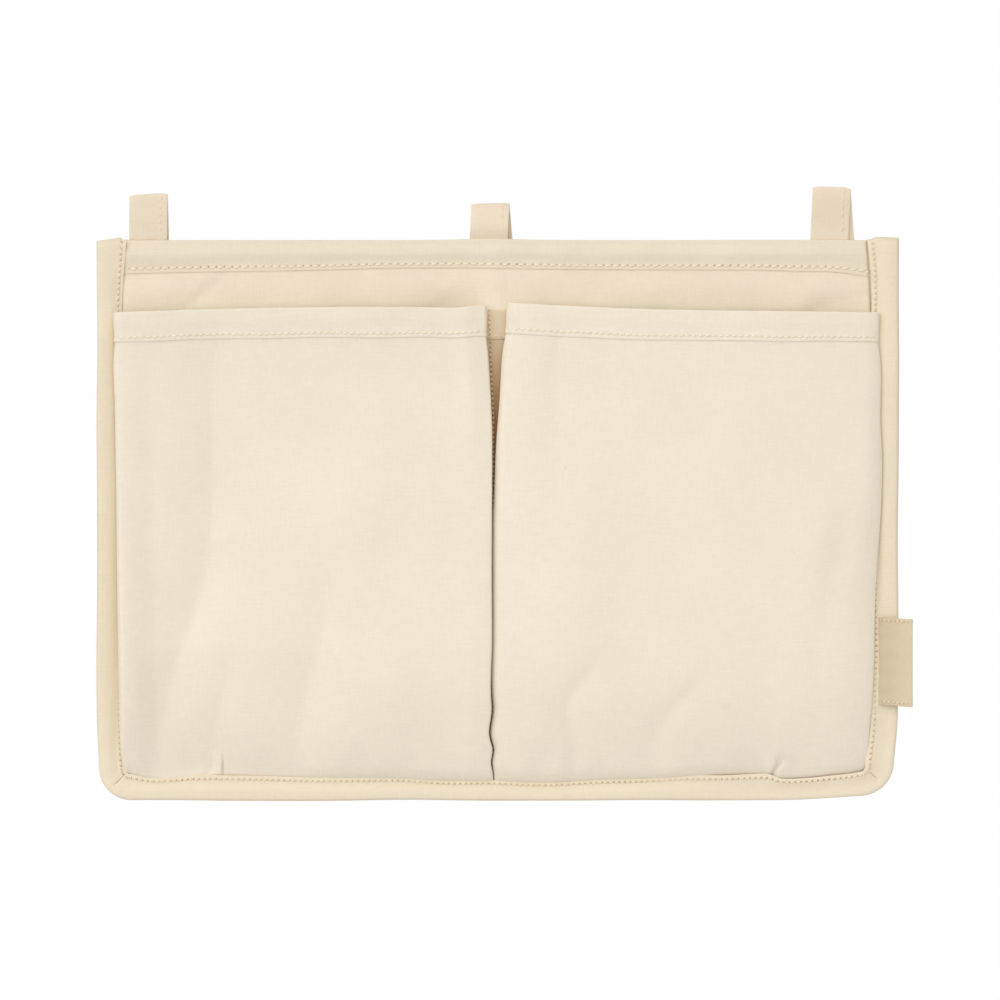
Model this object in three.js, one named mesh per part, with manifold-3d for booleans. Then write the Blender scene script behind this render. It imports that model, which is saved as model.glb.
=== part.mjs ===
// Bedside caddy: a bound cloth panel that hangs by three loops and carries two pleated pockets.
// Millimetres, +Z up, the front faces -Y. The origin lies on the rail line that the loops hang on,
// over the middle of the panel.
import * as THREE from "three";
import { mergeVertices } from "three/addons/utils/BufferGeometryUtils.js";
import Module from "manifold-3d";

const wasm = await Module();
wasm.setup();

// Overall sizes
const PANEL_WIDTH = 400; // outside the side bindings
const PANEL_HEIGHT = 278; // top edge to the outside of the bottom binding
const RAIL_HEIGHT = 13; // rail line above the panel's top edge

// Cloth thicknesses, and the clearance between layers that are sewn together
const CLOTH = 0.8;
const TAPE = 0.9;
const FELT = 1.6;
const STRAP = 1.2;
const RIBBON = 0.45;
const SEWN_GAP = 0.3;

// Binding
const BINDING_WIDTH = 13;
const BINDING_CORNER = 15; // outer radius of the two lower corners
const BINDING_ROLL = 5; // how far the rounded nose reaches in from the outer edge
const BINDING_RISE = 1.5; // the side bindings end this far above the panel
const EDGE_INSET = 4.5; // raw edges of the layers lie this far inside the binding's outer edge

// Hems and panel layers
const TOP_HEM = 15;
const POCKET_HEM = 17;
const HEM_RETURN = 1; // short leg that joins a folded hem to its cloth
const FELT_MARGIN = 5; // the interlining stops this far short of the binding
const LINING_STEP = 2; // the lining slopes down to its thin rim over this width

// Pockets
const POCKET_DROP = 31.3; // mouths below the panel's top edge, beside the divider
const MOUTH_DROOP = 4.4; // each mouth is this much lower at its outer end
const MOUTH_DEPTH = 8; // pocket depth at the mouth, beside the pleats
const BELLY_DEPTH = 12; // pocket depth at the line where the front meets the base
const CROWN = 3; // extra depth in the middle of a pocket
const BASE_RISE = 22; // height of the rounded pocket base
const PLEAT_FOOT = 4; // pleats and divider end this far above the bottom seam
const LEFT_OVERLAP = 4; // how far each outer pleat laps over its side binding
const RIGHT_OVERLAP = 1.2;
const INNER_PLEAT = 6; // how far an inner pleat folds back into its pocket
const PLEAT_LAP = 1; // flat stretch between an inner fold and the pocket front
const DIVIDER_X = -3; // seam between the pockets, left of the panel's middle
const DIVIDER_WIDTH = 9.4;
const LEFT_GAP = 3.9; // from the seam to each pocket's fold, at its mouth
const RIGHT_GAP = 6.9;
const SLIT = 0.6; // gap between the pockets lower down
const GAP_TAPER = 82; // height over which the mouth gap closes to the slit

// Hanging loops: each is set off from the panel's left end (-1), middle (0) or right end (1)
const LOOP_WIDTH = 19;
const LOOP_ROOT = 2.4; // height of the stretch where a loop's two legs are sewn together
const TAIL_LENGTH = 18;
const LOOPS = [
  { name: "left", end: -1, offset: 16.5, height: 22.8, depth: 13 },
  { name: "centre", end: 0, offset: -5, height: 18.4, depth: 17 },
  { name: "right", end: 1, offset: -26, height: 26.3, depth: 10 },
];

// Side label, folded from one ribbon
const LABEL_HEIGHT = 44.5;
const LABEL_REACH = 17.2; // from its sewn end to its fold
const LABEL_RISE = 46.5; // its lower edge above the bottom binding's outside
const LABEL_OFFSET = 2.9; // its sewn end outside the right binding's inner edge
const LABEL_GAP = 0.5; // between the two plies

// Facets
const ARC_STEPS = 8;
const FOLD_STEPS = 4;
const FRONT_COLUMNS = 14;
const FRONT_ROWS = 10;
const BASE_ROWS = 6;

// Places that follow from the sizes
const TOP = -RAIL_HEIGHT;
const BOTTOM = TOP - PANEL_HEIGHT;
const HALF_WIDTH = PANEL_WIDTH / 2;
const BINDING_EDGE = HALF_WIDTH - BINDING_WIDTH;
const LAYER_EDGE = HALF_WIDTH - EDGE_INSET;
const BEYOND = BINDING_WIDTH + PANEL_HEIGHT; // outside everything, for cutting shapes

const PANEL_BACK = -(FELT / 2 + SEWN_GAP);
const PANEL_FRONT = PANEL_BACK - CLOTH;
const LINING_FRONT = FELT / 2 + SEWN_GAP;
const LINING_BACK = LINING_FRONT + CLOTH;
const RIM_FRONT = PANEL_BACK + SEWN_GAP; // the lining's rim lies against the panel
const RIM_BACK = RIM_FRONT + CLOTH;
const LAID = PANEL_FRONT - SEWN_GAP - CLOTH / 2; // middle of a cloth laid on the panel
const LAID_FRONT = LAID - CLOTH / 2;
const LEAF_BACK = LAID_FRONT - SEWN_GAP;
const LEAF_FRONT = LEAF_BACK - TAPE;
const REAR_LEAF_FRONT = RIM_BACK + SEWN_GAP;
const REAR_LEAF_BACK = REAR_LEAF_FRONT + TAPE;
const OVER = LEAF_FRONT - SEWN_GAP - CLOTH / 2; // middle of a cloth laid over the binding

const FOLD_RADIUS = (CLOTH + SEWN_GAP) / 2; // middle radius of a cloth folded flat on itself
const HEM_PITCH = 2 * FOLD_RADIUS;
const SEAM = BOTTOM + BINDING_WIDTH + SEWN_GAP + CLOTH / 2; // pocket bases leave the binding here
const SEAM_TURN = CLOTH;
const LEAN_LINE = SEAM + BASE_RISE; // a pocket front leans out about this height
const MOUTH = TOP - POCKET_DROP;
const FRONT_TOP = MOUTH - CLOTH / 2 - FOLD_RADIUS - HEM_RETURN - SEWN_GAP;
const HINGE_GAP = SEWN_GAP / 2;

const finishes = {
  canvas: { color: 0xefe3cb, roughness: 0.95 },
  lining: { color: 0xe9dbbf, roughness: 0.95 },
  felt: { color: 0xe2d8c4, roughness: 1 },
  tape: { color: 0xead9b8, roughness: 0.9 },
  strap: { color: 0xe6d5b6, roughness: 0.92 },
  ribbon: { color: 0xd8c6a2, roughness: 0.6 },
};

// Geometry helpers

function piece(name, geometry, finish) {
  const material = new THREE.MeshStandardMaterial({ ...finish, metalness: 0 });
  const mesh = new THREE.Mesh(geometry, material);
  mesh.name = name;
  return mesh;
}

// A closed geometry as a manifold-3d solid, for cutting and joining.
function solid(geometry) {
  const bare = new THREE.BufferGeometry();
  bare.setAttribute("position", geometry.getAttribute("position"));
  bare.setIndex(geometry.getIndex());
  const merged = mergeVertices(bare, 1e-4);
  return new wasm.Manifold(
    new wasm.Mesh({
      numProp: 3,
      vertProperties: merged.getAttribute("position").array,
      triVerts: new Uint32Array(merged.getIndex().array),
    }),
  );
}

function geometryOf(manifold) {
  const mesh = manifold.getMesh();
  const geometry = new THREE.BufferGeometry();
  geometry.setAttribute("position", new THREE.BufferAttribute(mesh.vertProperties, 3));
  geometry.setIndex(new THREE.BufferAttribute(mesh.triVerts, 1));
  geometry.computeVertexNormals();
  return geometry;
}

// A shape drawn in X and Z, given thickness from front to back along Y.
function plate(shape, front, back, bevel = { bevelEnabled: false }) {
  const trim = bevel.bevelThickness ?? 0;
  const geometry = new THREE.ExtrudeGeometry(shape, {
    depth: back - front - 2 * trim,
    curveSegments: ARC_STEPS,
    ...bevel,
  });
  return geometry.rotateX(Math.PI / 2).translate(0, back - trim, 0);
}

// A profile drawn in Y and Z, drawn out along X.
function drawnOut(shape, from, to) {
  const geometry = new THREE.ExtrudeGeometry(shape, {
    depth: to - from,
    bevelEnabled: false,
    curveSegments: ARC_STEPS,
  });
  const turn = new THREE.Matrix4().makeBasis(
    new THREE.Vector3(0, 1, 0),
    new THREE.Vector3(0, 0, 1),
    new THREE.Vector3(1, 0, 0),
  );
  return geometry.applyMatrix4(turn).translate(from, 0, 0);
}

// A thin closed solid on both sides of a grid of middle points, rows by columns.
function clothSolid(rows, thickness) {
  const height = rows.length;
  const width = rows[0].length;
  const position = [];
  for (const side of [0.5, -0.5]) {
    rows.forEach((row, i) =>
      row.forEach((point, j) => {
        const across = row[Math.min(j + 1, width - 1)].clone().sub(row[Math.max(j - 1, 0)]);
        const along = rows[Math.min(i + 1, height - 1)][j].clone().sub(rows[Math.max(i - 1, 0)][j]);
        const normal = across.cross(along).normalize();
        position.push(...point.clone().addScaledVector(normal, side * thickness).toArray());
      }),
    );
  }
  const back = height * width;
  const at = (i, j) => i * width + j;
  const index = [];
  const quad = (a, b, c, d) => index.push(a, b, c, a, c, d);
  for (let i = 0; i + 1 < height; i++) {
    for (let j = 0; j + 1 < width; j++) {
      const [a, b, c, d] = [at(i, j), at(i, j + 1), at(i + 1, j + 1), at(i + 1, j)];
      quad(a, b, c, d);
      quad(back + d, back + c, back + b, back + a);
    }
  }
  const rim = [];
  for (let j = 0; j + 1 < width; j++) rim.push(at(0, j));
  for (let i = 0; i + 1 < height; i++) rim.push(at(i, width - 1));
  for (let j = width - 1; j > 0; j--) rim.push(at(height - 1, j));
  for (let i = height - 1; i > 0; i--) rim.push(at(i, 0));
  rim.forEach((a, k) => {
    const b = rim[(k + 1) % rim.length];
    quad(b, a, back + a, back + b);
  });
  const geometry = new THREE.BufferGeometry();
  geometry.setAttribute("position", new THREE.Float32BufferAttribute(position, 3));
  geometry.setIndex(index);
  if (solid(geometry).volume() < 0) geometry.setIndex(index.reverse());
  geometry.computeVertexNormals();
  return geometry;
}

function steps(from, to, count) {
  return Array.from({ length: count + 1 }, (_, k) => from + ((to - from) * k) / count);
}

// Points along an elliptic arc, both ends included.
function arc(cx, cy, rx, ry, from, to, count = ARC_STEPS) {
  return steps(from, to, count).map((a) => [cx + rx * Math.cos(a), cy + ry * Math.sin(a)]);
}

// The panel's outline drawn in by an inset, with round lower corners and an open upper end.
function panelOutline(inset, top) {
  const half = HALF_WIDTH - inset;
  const low = BOTTOM + inset;
  const radius = Math.max(BINDING_CORNER - inset, SEWN_GAP);
  const shape = new THREE.Shape();
  shape.moveTo(half, top);
  shape.lineTo(-half, top);
  shape.lineTo(-half, low + radius);
  shape.absarc(radius - half, low + radius, radius, Math.PI, 1.5 * Math.PI, false);
  shape.lineTo(half - radius, low);
  shape.absarc(half - radius, low + radius, radius, 1.5 * Math.PI, 2 * Math.PI, false);
  return shape;
}

function polygon(points) {
  return new THREE.Shape(points.map(([x, z]) => new THREE.Vector2(x, z)));
}

function rectangle(left, right, low, high) {
  return polygon([[left, low], [right, low], [right, high], [left, high]]);
}

// A cloth that runs up to a folded top edge and comes down again in front as a hem.
function hemProfile(low, top, hem, middle) {
  const crest = top - CLOTH / 2 - FOLD_RADIUS;
  const outer = FOLD_RADIUS + CLOTH / 2;
  const inner = FOLD_RADIUS - CLOTH / 2;
  const centre = middle - FOLD_RADIUS;
  const shape = new THREE.Shape();
  shape.moveTo(centre + inner, low);
  shape.lineTo(centre + outer, low);
  shape.lineTo(centre + outer, crest);
  shape.absarc(centre, crest, outer, 0, Math.PI, false);
  shape.lineTo(centre - outer, top - hem);
  shape.lineTo(centre - inner, top - hem);
  shape.lineTo(centre - inner, crest);
  shape.absarc(centre, crest, inner, Math.PI, 0, true);
  return shape;
}

// Panel layers

function backPanel() {
  const top = TOP - CLOTH / 2 - FOLD_RADIUS - HEM_RETURN - SEWN_GAP;
  return plate(panelOutline(EDGE_INSET, top), PANEL_FRONT, PANEL_BACK);
}

function topHem() {
  const low = TOP - CLOTH / 2 - FOLD_RADIUS - HEM_RETURN;
  const profile = hemProfile(low, TOP, TOP_HEM, PANEL_BACK - CLOTH / 2);
  return drawnOut(profile, -LAYER_EDGE, LAYER_EDGE);
}

function interlining() {
  const inset = BINDING_WIDTH + FELT_MARGIN;
  return plate(panelOutline(inset, TOP - TAIL_LENGTH - SEWN_GAP), -FELT / 2, FELT / 2);
}

// The lining is a shallow tray: flat over the interlining, and stepped forward to a thin rim
// that lies against the panel inside the binding.
function lining() {
  const slope = (front, back) => ({
    bevelEnabled: true,
    bevelThickness: (back - front) / 2 - SEWN_GAP / 4,
    bevelSize: LINING_STEP,
    bevelSegments: 1,
  });
  const tray = (inset, front, back) => {
    const depth = 2 * (back - front);
    const shape = panelOutline(inset + LINING_STEP, TOP + BEYOND);
    return solid(plate(shape, back - depth, back, slope(back - depth, back)));
  };
  const rim = solid(plate(panelOutline(EDGE_INSET, TOP), RIM_FRONT, RIM_BACK));
  const outside = tray(BINDING_WIDTH + SEWN_GAP, RIM_FRONT, LINING_BACK);
  const inside = tray(BINDING_WIDTH + SEWN_GAP + CLOTH, RIM_FRONT - CLOTH, LINING_FRONT);
  const keep = rectangle(-HALF_WIDTH, HALF_WIDTH, BOTTOM, TOP);
  const shell = rim.add(outside).subtract(inside);
  return geometryOf(shell.intersect(solid(plate(keep, RIM_FRONT, LINING_BACK + CLOTH))));
}

// Binding: one rolled rim, slotted for the layers and parted at the two mitres

function bindingRim() {
  const roll = {
    bevelEnabled: true,
    bevelThickness: (REAR_LEAF_BACK - LEAF_FRONT) / 2 - SEWN_GAP,
    bevelSize: BINDING_ROLL,
    bevelSegments: FOLD_STEPS,
  };
  const rolled = panelOutline(BINDING_ROLL, TOP + BEYOND);
  const body = solid(plate(rolled, LEAF_FRONT, REAR_LEAF_BACK, roll));
  const window = rectangle(-BINDING_EDGE, BINDING_EDGE, BOTTOM + BINDING_WIDTH, TOP + BEYOND);
  const slot = panelOutline(EDGE_INSET - SEWN_GAP, TOP + BEYOND);
  return body
    .subtract(solid(plate(window, LEAF_FRONT - TAPE, REAR_LEAF_BACK + TAPE)))
    .subtract(solid(plate(slot, LEAF_BACK, REAR_LEAF_FRONT)));
}

function bindingPieces() {
  const rim = bindingRim();
  const kerf = SEWN_GAP / Math.SQRT2;
  const reach = BINDING_WIDTH + BINDING_CORNER;
  const high = TOP + BINDING_RISE;
  const outer = [HALF_WIDTH + reach, BOTTOM - reach];
  const inner = [HALF_WIDTH - reach, BOTTOM + reach];
  const side = (sign) => [
    [sign * outer[0], outer[1] + kerf],
    [sign * inner[0], inner[1] + kerf],
    [sign * inner[0], high],
    [sign * outer[0], high],
  ];
  const foot = [
    [-outer[0], outer[1] - kerf],
    [outer[0], outer[1] - kerf],
    [inner[0], inner[1] - kerf],
    [-inner[0], inner[1] - kerf],
  ];
  const cut = (points) => {
    const region = plate(polygon(points), LEAF_FRONT - TAPE, REAR_LEAF_BACK + TAPE);
    return geometryOf(rim.intersect(solid(region)));
  };
  return { left: cut(side(-1).reverse()), bottom: cut(foot), right: cut(side(1)) };
}

// Pockets. A place on a pocket is u, from its inner to its outer pleat, and a height z.

function crownAt(u) {
  return CROWN * (1 - (2 * u - 1) ** 4);
}

function pocketY(u, z) {
  if (z >= LEAN_LINE) {
    const down = (MOUTH - z) / (MOUTH - LEAN_LINE);
    const ease = THREE.MathUtils.smoothstep(down, 0, 1);
    return LAID - THREE.MathUtils.lerp(MOUTH_DEPTH, BELLY_DEPTH, ease) - crownAt(u);
  }
  const angle = Math.acos(1 - (z - SEAM) / BASE_RISE);
  const reach = BELLY_DEPTH + crownAt(u) - SEAM_TURN;
  return LAID - SEAM_TURN - reach * Math.sin(angle);
}

function droop(u) {
  return MOUTH_DROOP * u;
}

// How far from the seam the middle of an inner pleat's fold lies.
function foldOffset({ gap }, z) {
  const closed = Math.min((MOUTH - z) / GAP_TAPER, 1);
  const open = THREE.MathUtils.lerp(gap, SLIT / 2, 1 - (1 - closed) ** 1.5);
  return open + CLOTH / 2 + FOLD_RADIUS;
}

function pocketX(pocket, u, z) {
  const inner = DIVIDER_X + pocket.side * (foldOffset(pocket, z) + PLEAT_LAP + SEWN_GAP);
  const outer = pocket.side * (BINDING_EDGE - 2 * SEWN_GAP);
  return THREE.MathUtils.lerp(inner, outer, u);
}

function pocketPoint(pocket, u, z, forward = 0) {
  return new THREE.Vector3(pocketX(pocket, u, z), pocketY(u, z) - forward, z);
}

function pocketColumns(makePoint) {
  return steps(0, 1, FRONT_COLUMNS).map(makePoint);
}

function pocketFront(pocket) {
  const height = (u, t) => THREE.MathUtils.lerp(LEAN_LINE + HINGE_GAP, FRONT_TOP - droop(u), t);
  const rows = steps(0, 1, FRONT_ROWS).map((t) =>
    pocketColumns((u) => pocketPoint(pocket, u, height(u, t))),
  );
  return clothSolid(rows, CLOTH);
}

// The hem folds forward over the mouth and hangs down in front of the pocket front.
function pocketHem(pocket) {
  const crest = MOUTH - CLOTH / 2 - FOLD_RADIUS;
  const path = [
    [0, crest - HEM_RETURN],
    ...arc(FOLD_RADIUS, crest, FOLD_RADIUS, FOLD_RADIUS, Math.PI, 0),
    [HEM_PITCH, MOUTH - POCKET_HEM],
  ];
  const rows = path.map(([forward, z]) =>
    pocketColumns((u) => pocketPoint(pocket, u, z - droop(u), forward)),
  );
  return clothSolid(rows, CLOTH);
}

// The base leaves the bottom binding, turns forward and rounds up to the pocket front.
function pocketBase(pocket) {
  const foot = BOTTOM + EDGE_INSET + SEWN_GAP;
  const turn = steps(0, Math.PI / 2, FOLD_STEPS).map((angle) => [
    SEAM_TURN * (1 - Math.cos(angle)),
    SEAM - SEAM_TURN * (1 - Math.sin(angle)),
  ]);
  const flat = [[0, foot], ...turn].map(([forward, z]) =>
    pocketColumns((u) => new THREE.Vector3(pocketX(pocket, u, SEAM), LAID - forward, z)),
  );
  const last = Math.acos(HINGE_GAP / BASE_RISE);
  const round = steps(0, last, BASE_ROWS)
    .slice(1)
    .map((angle) => SEAM + BASE_RISE * (1 - Math.cos(angle)))
    .map((z) => pocketColumns((u) => pocketPoint(pocket, u, z)));
  return clothSolid([...flat, ...round], CLOTH);
}

// Heights of a pleat's rows: close together in the rounded base, then up to the mouth.
function pleatHeights(top) {
  const low = steps(SEAM + PLEAT_FOOT, LEAN_LINE, BASE_ROWS);
  return [...low, ...steps(LEAN_LINE, top, FRONT_ROWS).slice(1)];
}

// The outer pleat comes from under the side binding, hooks round its edge and folds over it.
function outerPleat({ side, overlap }) {
  const edge = BINDING_EDGE - SEWN_GAP;
  const rows = pleatHeights(MOUTH - droop(1)).map((z) => {
    const front = pocketY(1, z);
    const hook = (LAID - OVER) / 2;
    const fold = (OVER - front) / 2;
    const path = [
      [LAYER_EDGE - SEWN_GAP, LAID],
      ...arc(edge, LAID - hook, hook, hook, Math.PI / 2, 1.5 * Math.PI),
      ...arc(edge, OVER - fold, overlap + SEWN_GAP, fold, Math.PI / 2, -Math.PI / 2).slice(1),
    ];
    return path.map(([out, y]) => new THREE.Vector3(side * out, y, z));
  });
  return clothSolid(rows, CLOTH);
}

// The inner pleat leaves the divider, folds back into its pocket and returns to the middle gap.
function innerPleat(pocket) {
  const start = DIVIDER_WIDTH / 2 + SEWN_GAP;
  const rows = pleatHeights(MOUTH - droop(0)).map((z) => {
    const front = pocketY(0, z);
    const under = front + HEM_PITCH;
    const back = (LAID - under) / 2;
    const fold = foldOffset(pocket, z);
    const reach = start + INNER_PLEAT - fold;
    const path = [
      ...arc(start, LAID - back, INNER_PLEAT, back, Math.PI / 2, 0, FOLD_STEPS),
      ...arc(fold, LAID - back, reach, back, 0, -Math.PI / 2, FOLD_STEPS).slice(1, -1),
      ...arc(fold, under - FOLD_RADIUS, FOLD_RADIUS, FOLD_RADIUS, Math.PI / 2, 1.5 * Math.PI),
      [fold + PLEAT_LAP, front],
    ];
    return path.map(([out, y]) => new THREE.Vector3(DIVIDER_X + pocket.side * out, y, z));
  });
  return clothSolid(rows, CLOTH);
}

// The strip of pocket cloth that is sewn down the middle, with its own stretch of the mouth hem.
function pocketDivider() {
  const profile = hemProfile(SEAM + PLEAT_FOOT, MOUTH, POCKET_HEM, LAID);
  return drawnOut(profile, DIVIDER_X - DIVIDER_WIDTH / 2, DIVIDER_X + DIVIDER_WIDTH / 2);
}

// Hanging loops

// A teardrop with its point down, centred on Y, from a foot to a top height.
function teardrop(foot, height, depth) {
  const widest = 0.77; // greatest value of sin t sin t/2
  const points = steps(0, 2 * Math.PI, 3 * ARC_STEPS)
    .slice(0, -1)
    .map((t) => {
      const bulge = (Math.sin(t) * Math.abs(Math.sin(t / 2))) / widest;
      return new THREE.Vector2((depth / 2) * bulge, foot + (height / 2) * (1 - Math.cos(t)));
    });
  return new THREE.Shape(points);
}

// A loop stands on its own root, a round bead on the line where it bends.
function hangingLoop({ height, depth }) {
  const half = LOOP_WIDTH / 2;
  const rise = height - SEWN_GAP - STRAP;
  const eye = teardrop(LOOP_ROOT, rise - LOOP_ROOT - STRAP, depth - 2 * STRAP);
  const bead = new THREE.CylinderGeometry(STRAP, STRAP, LOOP_WIDTH, 2 * ARC_STEPS);
  const strap = solid(drawnOut(teardrop(0, rise, depth), -half, half));
  return geometryOf(
    strap
      .add(solid(bead.rotateZ(Math.PI / 2)))
      .subtract(solid(drawnOut(eye, -LOOP_WIDTH, LOOP_WIDTH))),
  );
}

function loopTails(x) {
  const shape = rectangle(x - LOOP_WIDTH / 2, x + LOOP_WIDTH / 2, TOP - TAIL_LENGTH, TOP);
  return plate(shape, -FELT / 2, FELT / 2);
}

// Side label: a ribbon folded in two, closed at its sewn end
function sideLabel() {
  const thick = RIBBON + LABEL_GAP / 2;
  const stadium = (path, left, right, radius) => {
    path.absarc(left, 0, radius, Math.PI / 2, 1.5 * Math.PI, false);
    path.absarc(right, 0, radius, -Math.PI / 2, Math.PI / 2, false);
    return path;
  };
  const fold = LABEL_REACH - thick;
  const shape = stadium(new THREE.Shape(), 0, fold, thick);
  shape.holes.push(stadium(new THREE.Path(), 2 * thick, fold, LABEL_GAP / 2));
  return new THREE.ExtrudeGeometry(shape, {
    depth: LABEL_HEIGHT,
    bevelEnabled: false,
    curveSegments: FOLD_STEPS,
  });
}

// Assembly

const panel = new THREE.Group();
const binding = bindingPieces();
panel.add(
  piece("back_panel", backPanel(), finishes.canvas),
  piece("top_hem", topHem(), finishes.canvas),
  piece("panel_interlining", interlining(), finishes.felt),
  piece("back_lining", lining(), finishes.lining),
  piece("binding_left", binding.left, finishes.tape),
  piece("binding_bottom", binding.bottom, finishes.tape),
  piece("binding_right", binding.right, finishes.tape),
);

const pockets = new THREE.Group();
pockets.add(piece("pocket_divider", pocketDivider(), finishes.canvas));
for (const pocket of [
  { name: "left", side: -1, overlap: LEFT_OVERLAP, gap: LEFT_GAP },
  { name: "right", side: 1, overlap: RIGHT_OVERLAP, gap: RIGHT_GAP },
]) {
  pockets.add(
    piece(`${pocket.name}_pocket_front`, pocketFront(pocket), finishes.canvas),
    piece(`${pocket.name}_pocket_hem`, pocketHem(pocket), finishes.canvas),
    piece(`${pocket.name}_pocket_base`, pocketBase(pocket), finishes.canvas),
    piece(`${pocket.name}_outer_pleat`, outerPleat(pocket), finishes.canvas),
    piece(`${pocket.name}_inner_pleat`, innerPleat(pocket), finishes.canvas),
  );
}

const loops = new THREE.Group();
for (const loop of LOOPS) {
  const x = loop.end * (HALF_WIDTH - LOOP_WIDTH / 2) + loop.offset;
  const mesh = piece(`loop_${loop.name}`, hangingLoop(loop), finishes.strap);
  mesh.position.set(x, 0, TOP + SEWN_GAP + STRAP);
  loops.add(mesh, piece(`loop_${loop.name}_tails`, loopTails(x), finishes.strap));
}

const label = piece("side_label", sideLabel(), finishes.ribbon);
label.position.set(
  BINDING_EDGE + LABEL_OFFSET,
  LEAF_FRONT - SEWN_GAP - RIBBON - LABEL_GAP / 2,
  BOTTOM + LABEL_RISE,
);

const caddy = new THREE.Group();
caddy.add(panel, pockets, loops, label);

export default caddy;
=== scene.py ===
"""Bedside caddy: makes its cloth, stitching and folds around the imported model, and a plain stage."""

import math

import bmesh
import bpy
import numpy as np
from mathutils import Matrix, Vector


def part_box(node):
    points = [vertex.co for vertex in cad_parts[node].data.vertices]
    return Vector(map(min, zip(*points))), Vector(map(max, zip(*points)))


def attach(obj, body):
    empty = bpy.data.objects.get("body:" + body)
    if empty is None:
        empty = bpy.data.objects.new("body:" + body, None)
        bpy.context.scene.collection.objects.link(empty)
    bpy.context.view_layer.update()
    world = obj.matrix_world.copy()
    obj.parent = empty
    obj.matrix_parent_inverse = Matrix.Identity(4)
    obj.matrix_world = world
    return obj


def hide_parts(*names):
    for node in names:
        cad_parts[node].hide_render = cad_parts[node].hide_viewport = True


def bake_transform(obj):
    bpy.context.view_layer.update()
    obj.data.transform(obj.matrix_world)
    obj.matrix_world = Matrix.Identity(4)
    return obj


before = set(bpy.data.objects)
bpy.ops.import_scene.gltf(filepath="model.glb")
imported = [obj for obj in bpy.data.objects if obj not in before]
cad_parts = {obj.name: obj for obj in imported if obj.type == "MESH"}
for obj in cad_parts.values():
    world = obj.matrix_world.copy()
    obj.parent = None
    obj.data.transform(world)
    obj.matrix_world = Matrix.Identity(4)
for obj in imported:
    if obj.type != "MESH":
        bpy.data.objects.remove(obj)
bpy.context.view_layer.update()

bl_info = {
    "name": "Bedside Caddy",
    "version": (1, 0, 0),
    "blender": (4, 5, 0),
    "location": "View3D > Sidebar > Caddy",
    "description": "Makes the cloth, stitching and stage of a two-pocket bedside caddy",
    "category": "Mesh",
}

MM = 0.001


def node_box(name):
    """A CAD node's lowest and highest corners in millimetres."""
    low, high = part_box(name)
    return np.array(low) / MM, np.array(high) / MM


# Places from the frame, in millimetres
TOP = node_box("top_hem")[1][2]
BOTTOM = node_box("binding_bottom")[0][2]
LEFT_EDGE = node_box("binding_left")[0][0]
RIGHT_EDGE = node_box("binding_right")[1][0]
LAYER_EDGE = node_box("back_panel")[1][0]
LAYER_FOOT = node_box("back_panel")[0][2]
PANEL_FRONT = node_box("back_panel")[0][1]
PANEL_BACK = node_box("back_panel")[1][1]
LINING_BACK = node_box("back_lining")[1][1]
LEAF_FRONT = node_box("binding_bottom")[0][1]
REAR_LEAF_BACK = node_box("binding_bottom")[1][1]
FELT_LOW, FELT_HIGH = node_box("panel_interlining")
LEAN_LINE = node_box("left_pocket_front")[0][2]
DIVIDER_FOOT = node_box("pocket_divider")[0][2]
LABEL_LOW, LABEL_HIGH = node_box("side_label")

# Cloth thicknesses in millimetres
CLOTH = 0.8
PRESSED = 0.5  # a hem pressed flat
TAPE = 0.9
STRAP = 1.2
RIBBON = 0.4
FELT = 1.4
FOLD_RADIUS = 0.55  # middle radius of a cloth folded flat on itself
LAID = PANEL_FRONT - 0.7  # middle of a cloth laid on the panel

# Lines of the sewn cloth as (place, value) points in millimetres
TOP_HEM_EDGE = [(-186, -29.9), (-158, -29.2), (-89, -28.0), (-50, -27.1), (-10, -26.9),
                (30, -27.7), (139, -28.4), (174, -29.9), (184, -31.4)]
LEFT_FOLD = [(-283, -3.2), (-277, -3.4), (-271, -4.45), (-263.6, -3.75), (-257.7, -5.25),
             (-244, -4.1), (-236, -4.5), (-211, -3.95), (-180, -4.05), (-152, -3.95), (-117, -3.8),
             (-106, -3.85), (-94.6, -4.3), (-83, -4.9), (-72, -5.6), (-66, -6.1), (-60, -6.8), (-44, -7.3)]
RIGHT_FOLD = [(-283, -2.8), (-277, -2.9), (-271, -3.8), (-263.6, -3.0), (-257.7, -4.6),
              (-244, -3.45), (-236, -4.15), (-211, -4.05), (-180, -4.0), (-152, -3.7), (-137, -2.9),
              (-117, -2.1), (-106, -1.35), (-94.6, -0.4), (-83, 0.25), (-72, 0.95), (-66, 1.7), (-60, 2.8),
              (-44, 4.2)]
DIVIDER_SEAM = [(-280, -3.6), (-120, -3.3), (-97, -3.5), (-79, -4.4), (-52, -5.3), (-45, -5.5)]
LEFT_OUTER = [(-283, -186.6), (-277, -187.3), (-272, -188.2), (-264, -188.6), (-241, -188.9),
              (-220, -189.3), (-122, -190.6), (-92, -191.1), (-67, -191.6), (-61, -191.1), (-44, -191.3)]
RIGHT_OUTER = [(-283, 180), (-278, 181.8), (-275, 182.4), (-271, 182.8), (-262, 183.2), (-247, 184.6),
               (-230, 185.4), (-210, 185.8), (-197, 186.1), (-187, 186.5), (-172, 187.4), (-152, 188.8),
               (-132, 189.6), (-117, 189.6), (-104, 188.9), (-67, 188.5), (-61, 187.7), (-44, 187.7)]
LEFT_MOUTH = [(-192, -48.7), (-127, -46.7), (-40, -46.1), (-19, -46.2), (-13, -45.5), (-5, -45.2)]
RIGHT_MOUTH = [(2, -43.9), (60, -46.7), (187, -48.7)]
LEFT_FOOT = [(-188, -276.5), (-174, -280.0), (-149, -278.8), (-141, -278.3), (-119, -278.8),
             (-84, -279.8), (-50, -280.2), (-30, -281.3), (-3, -281.5)]
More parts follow.
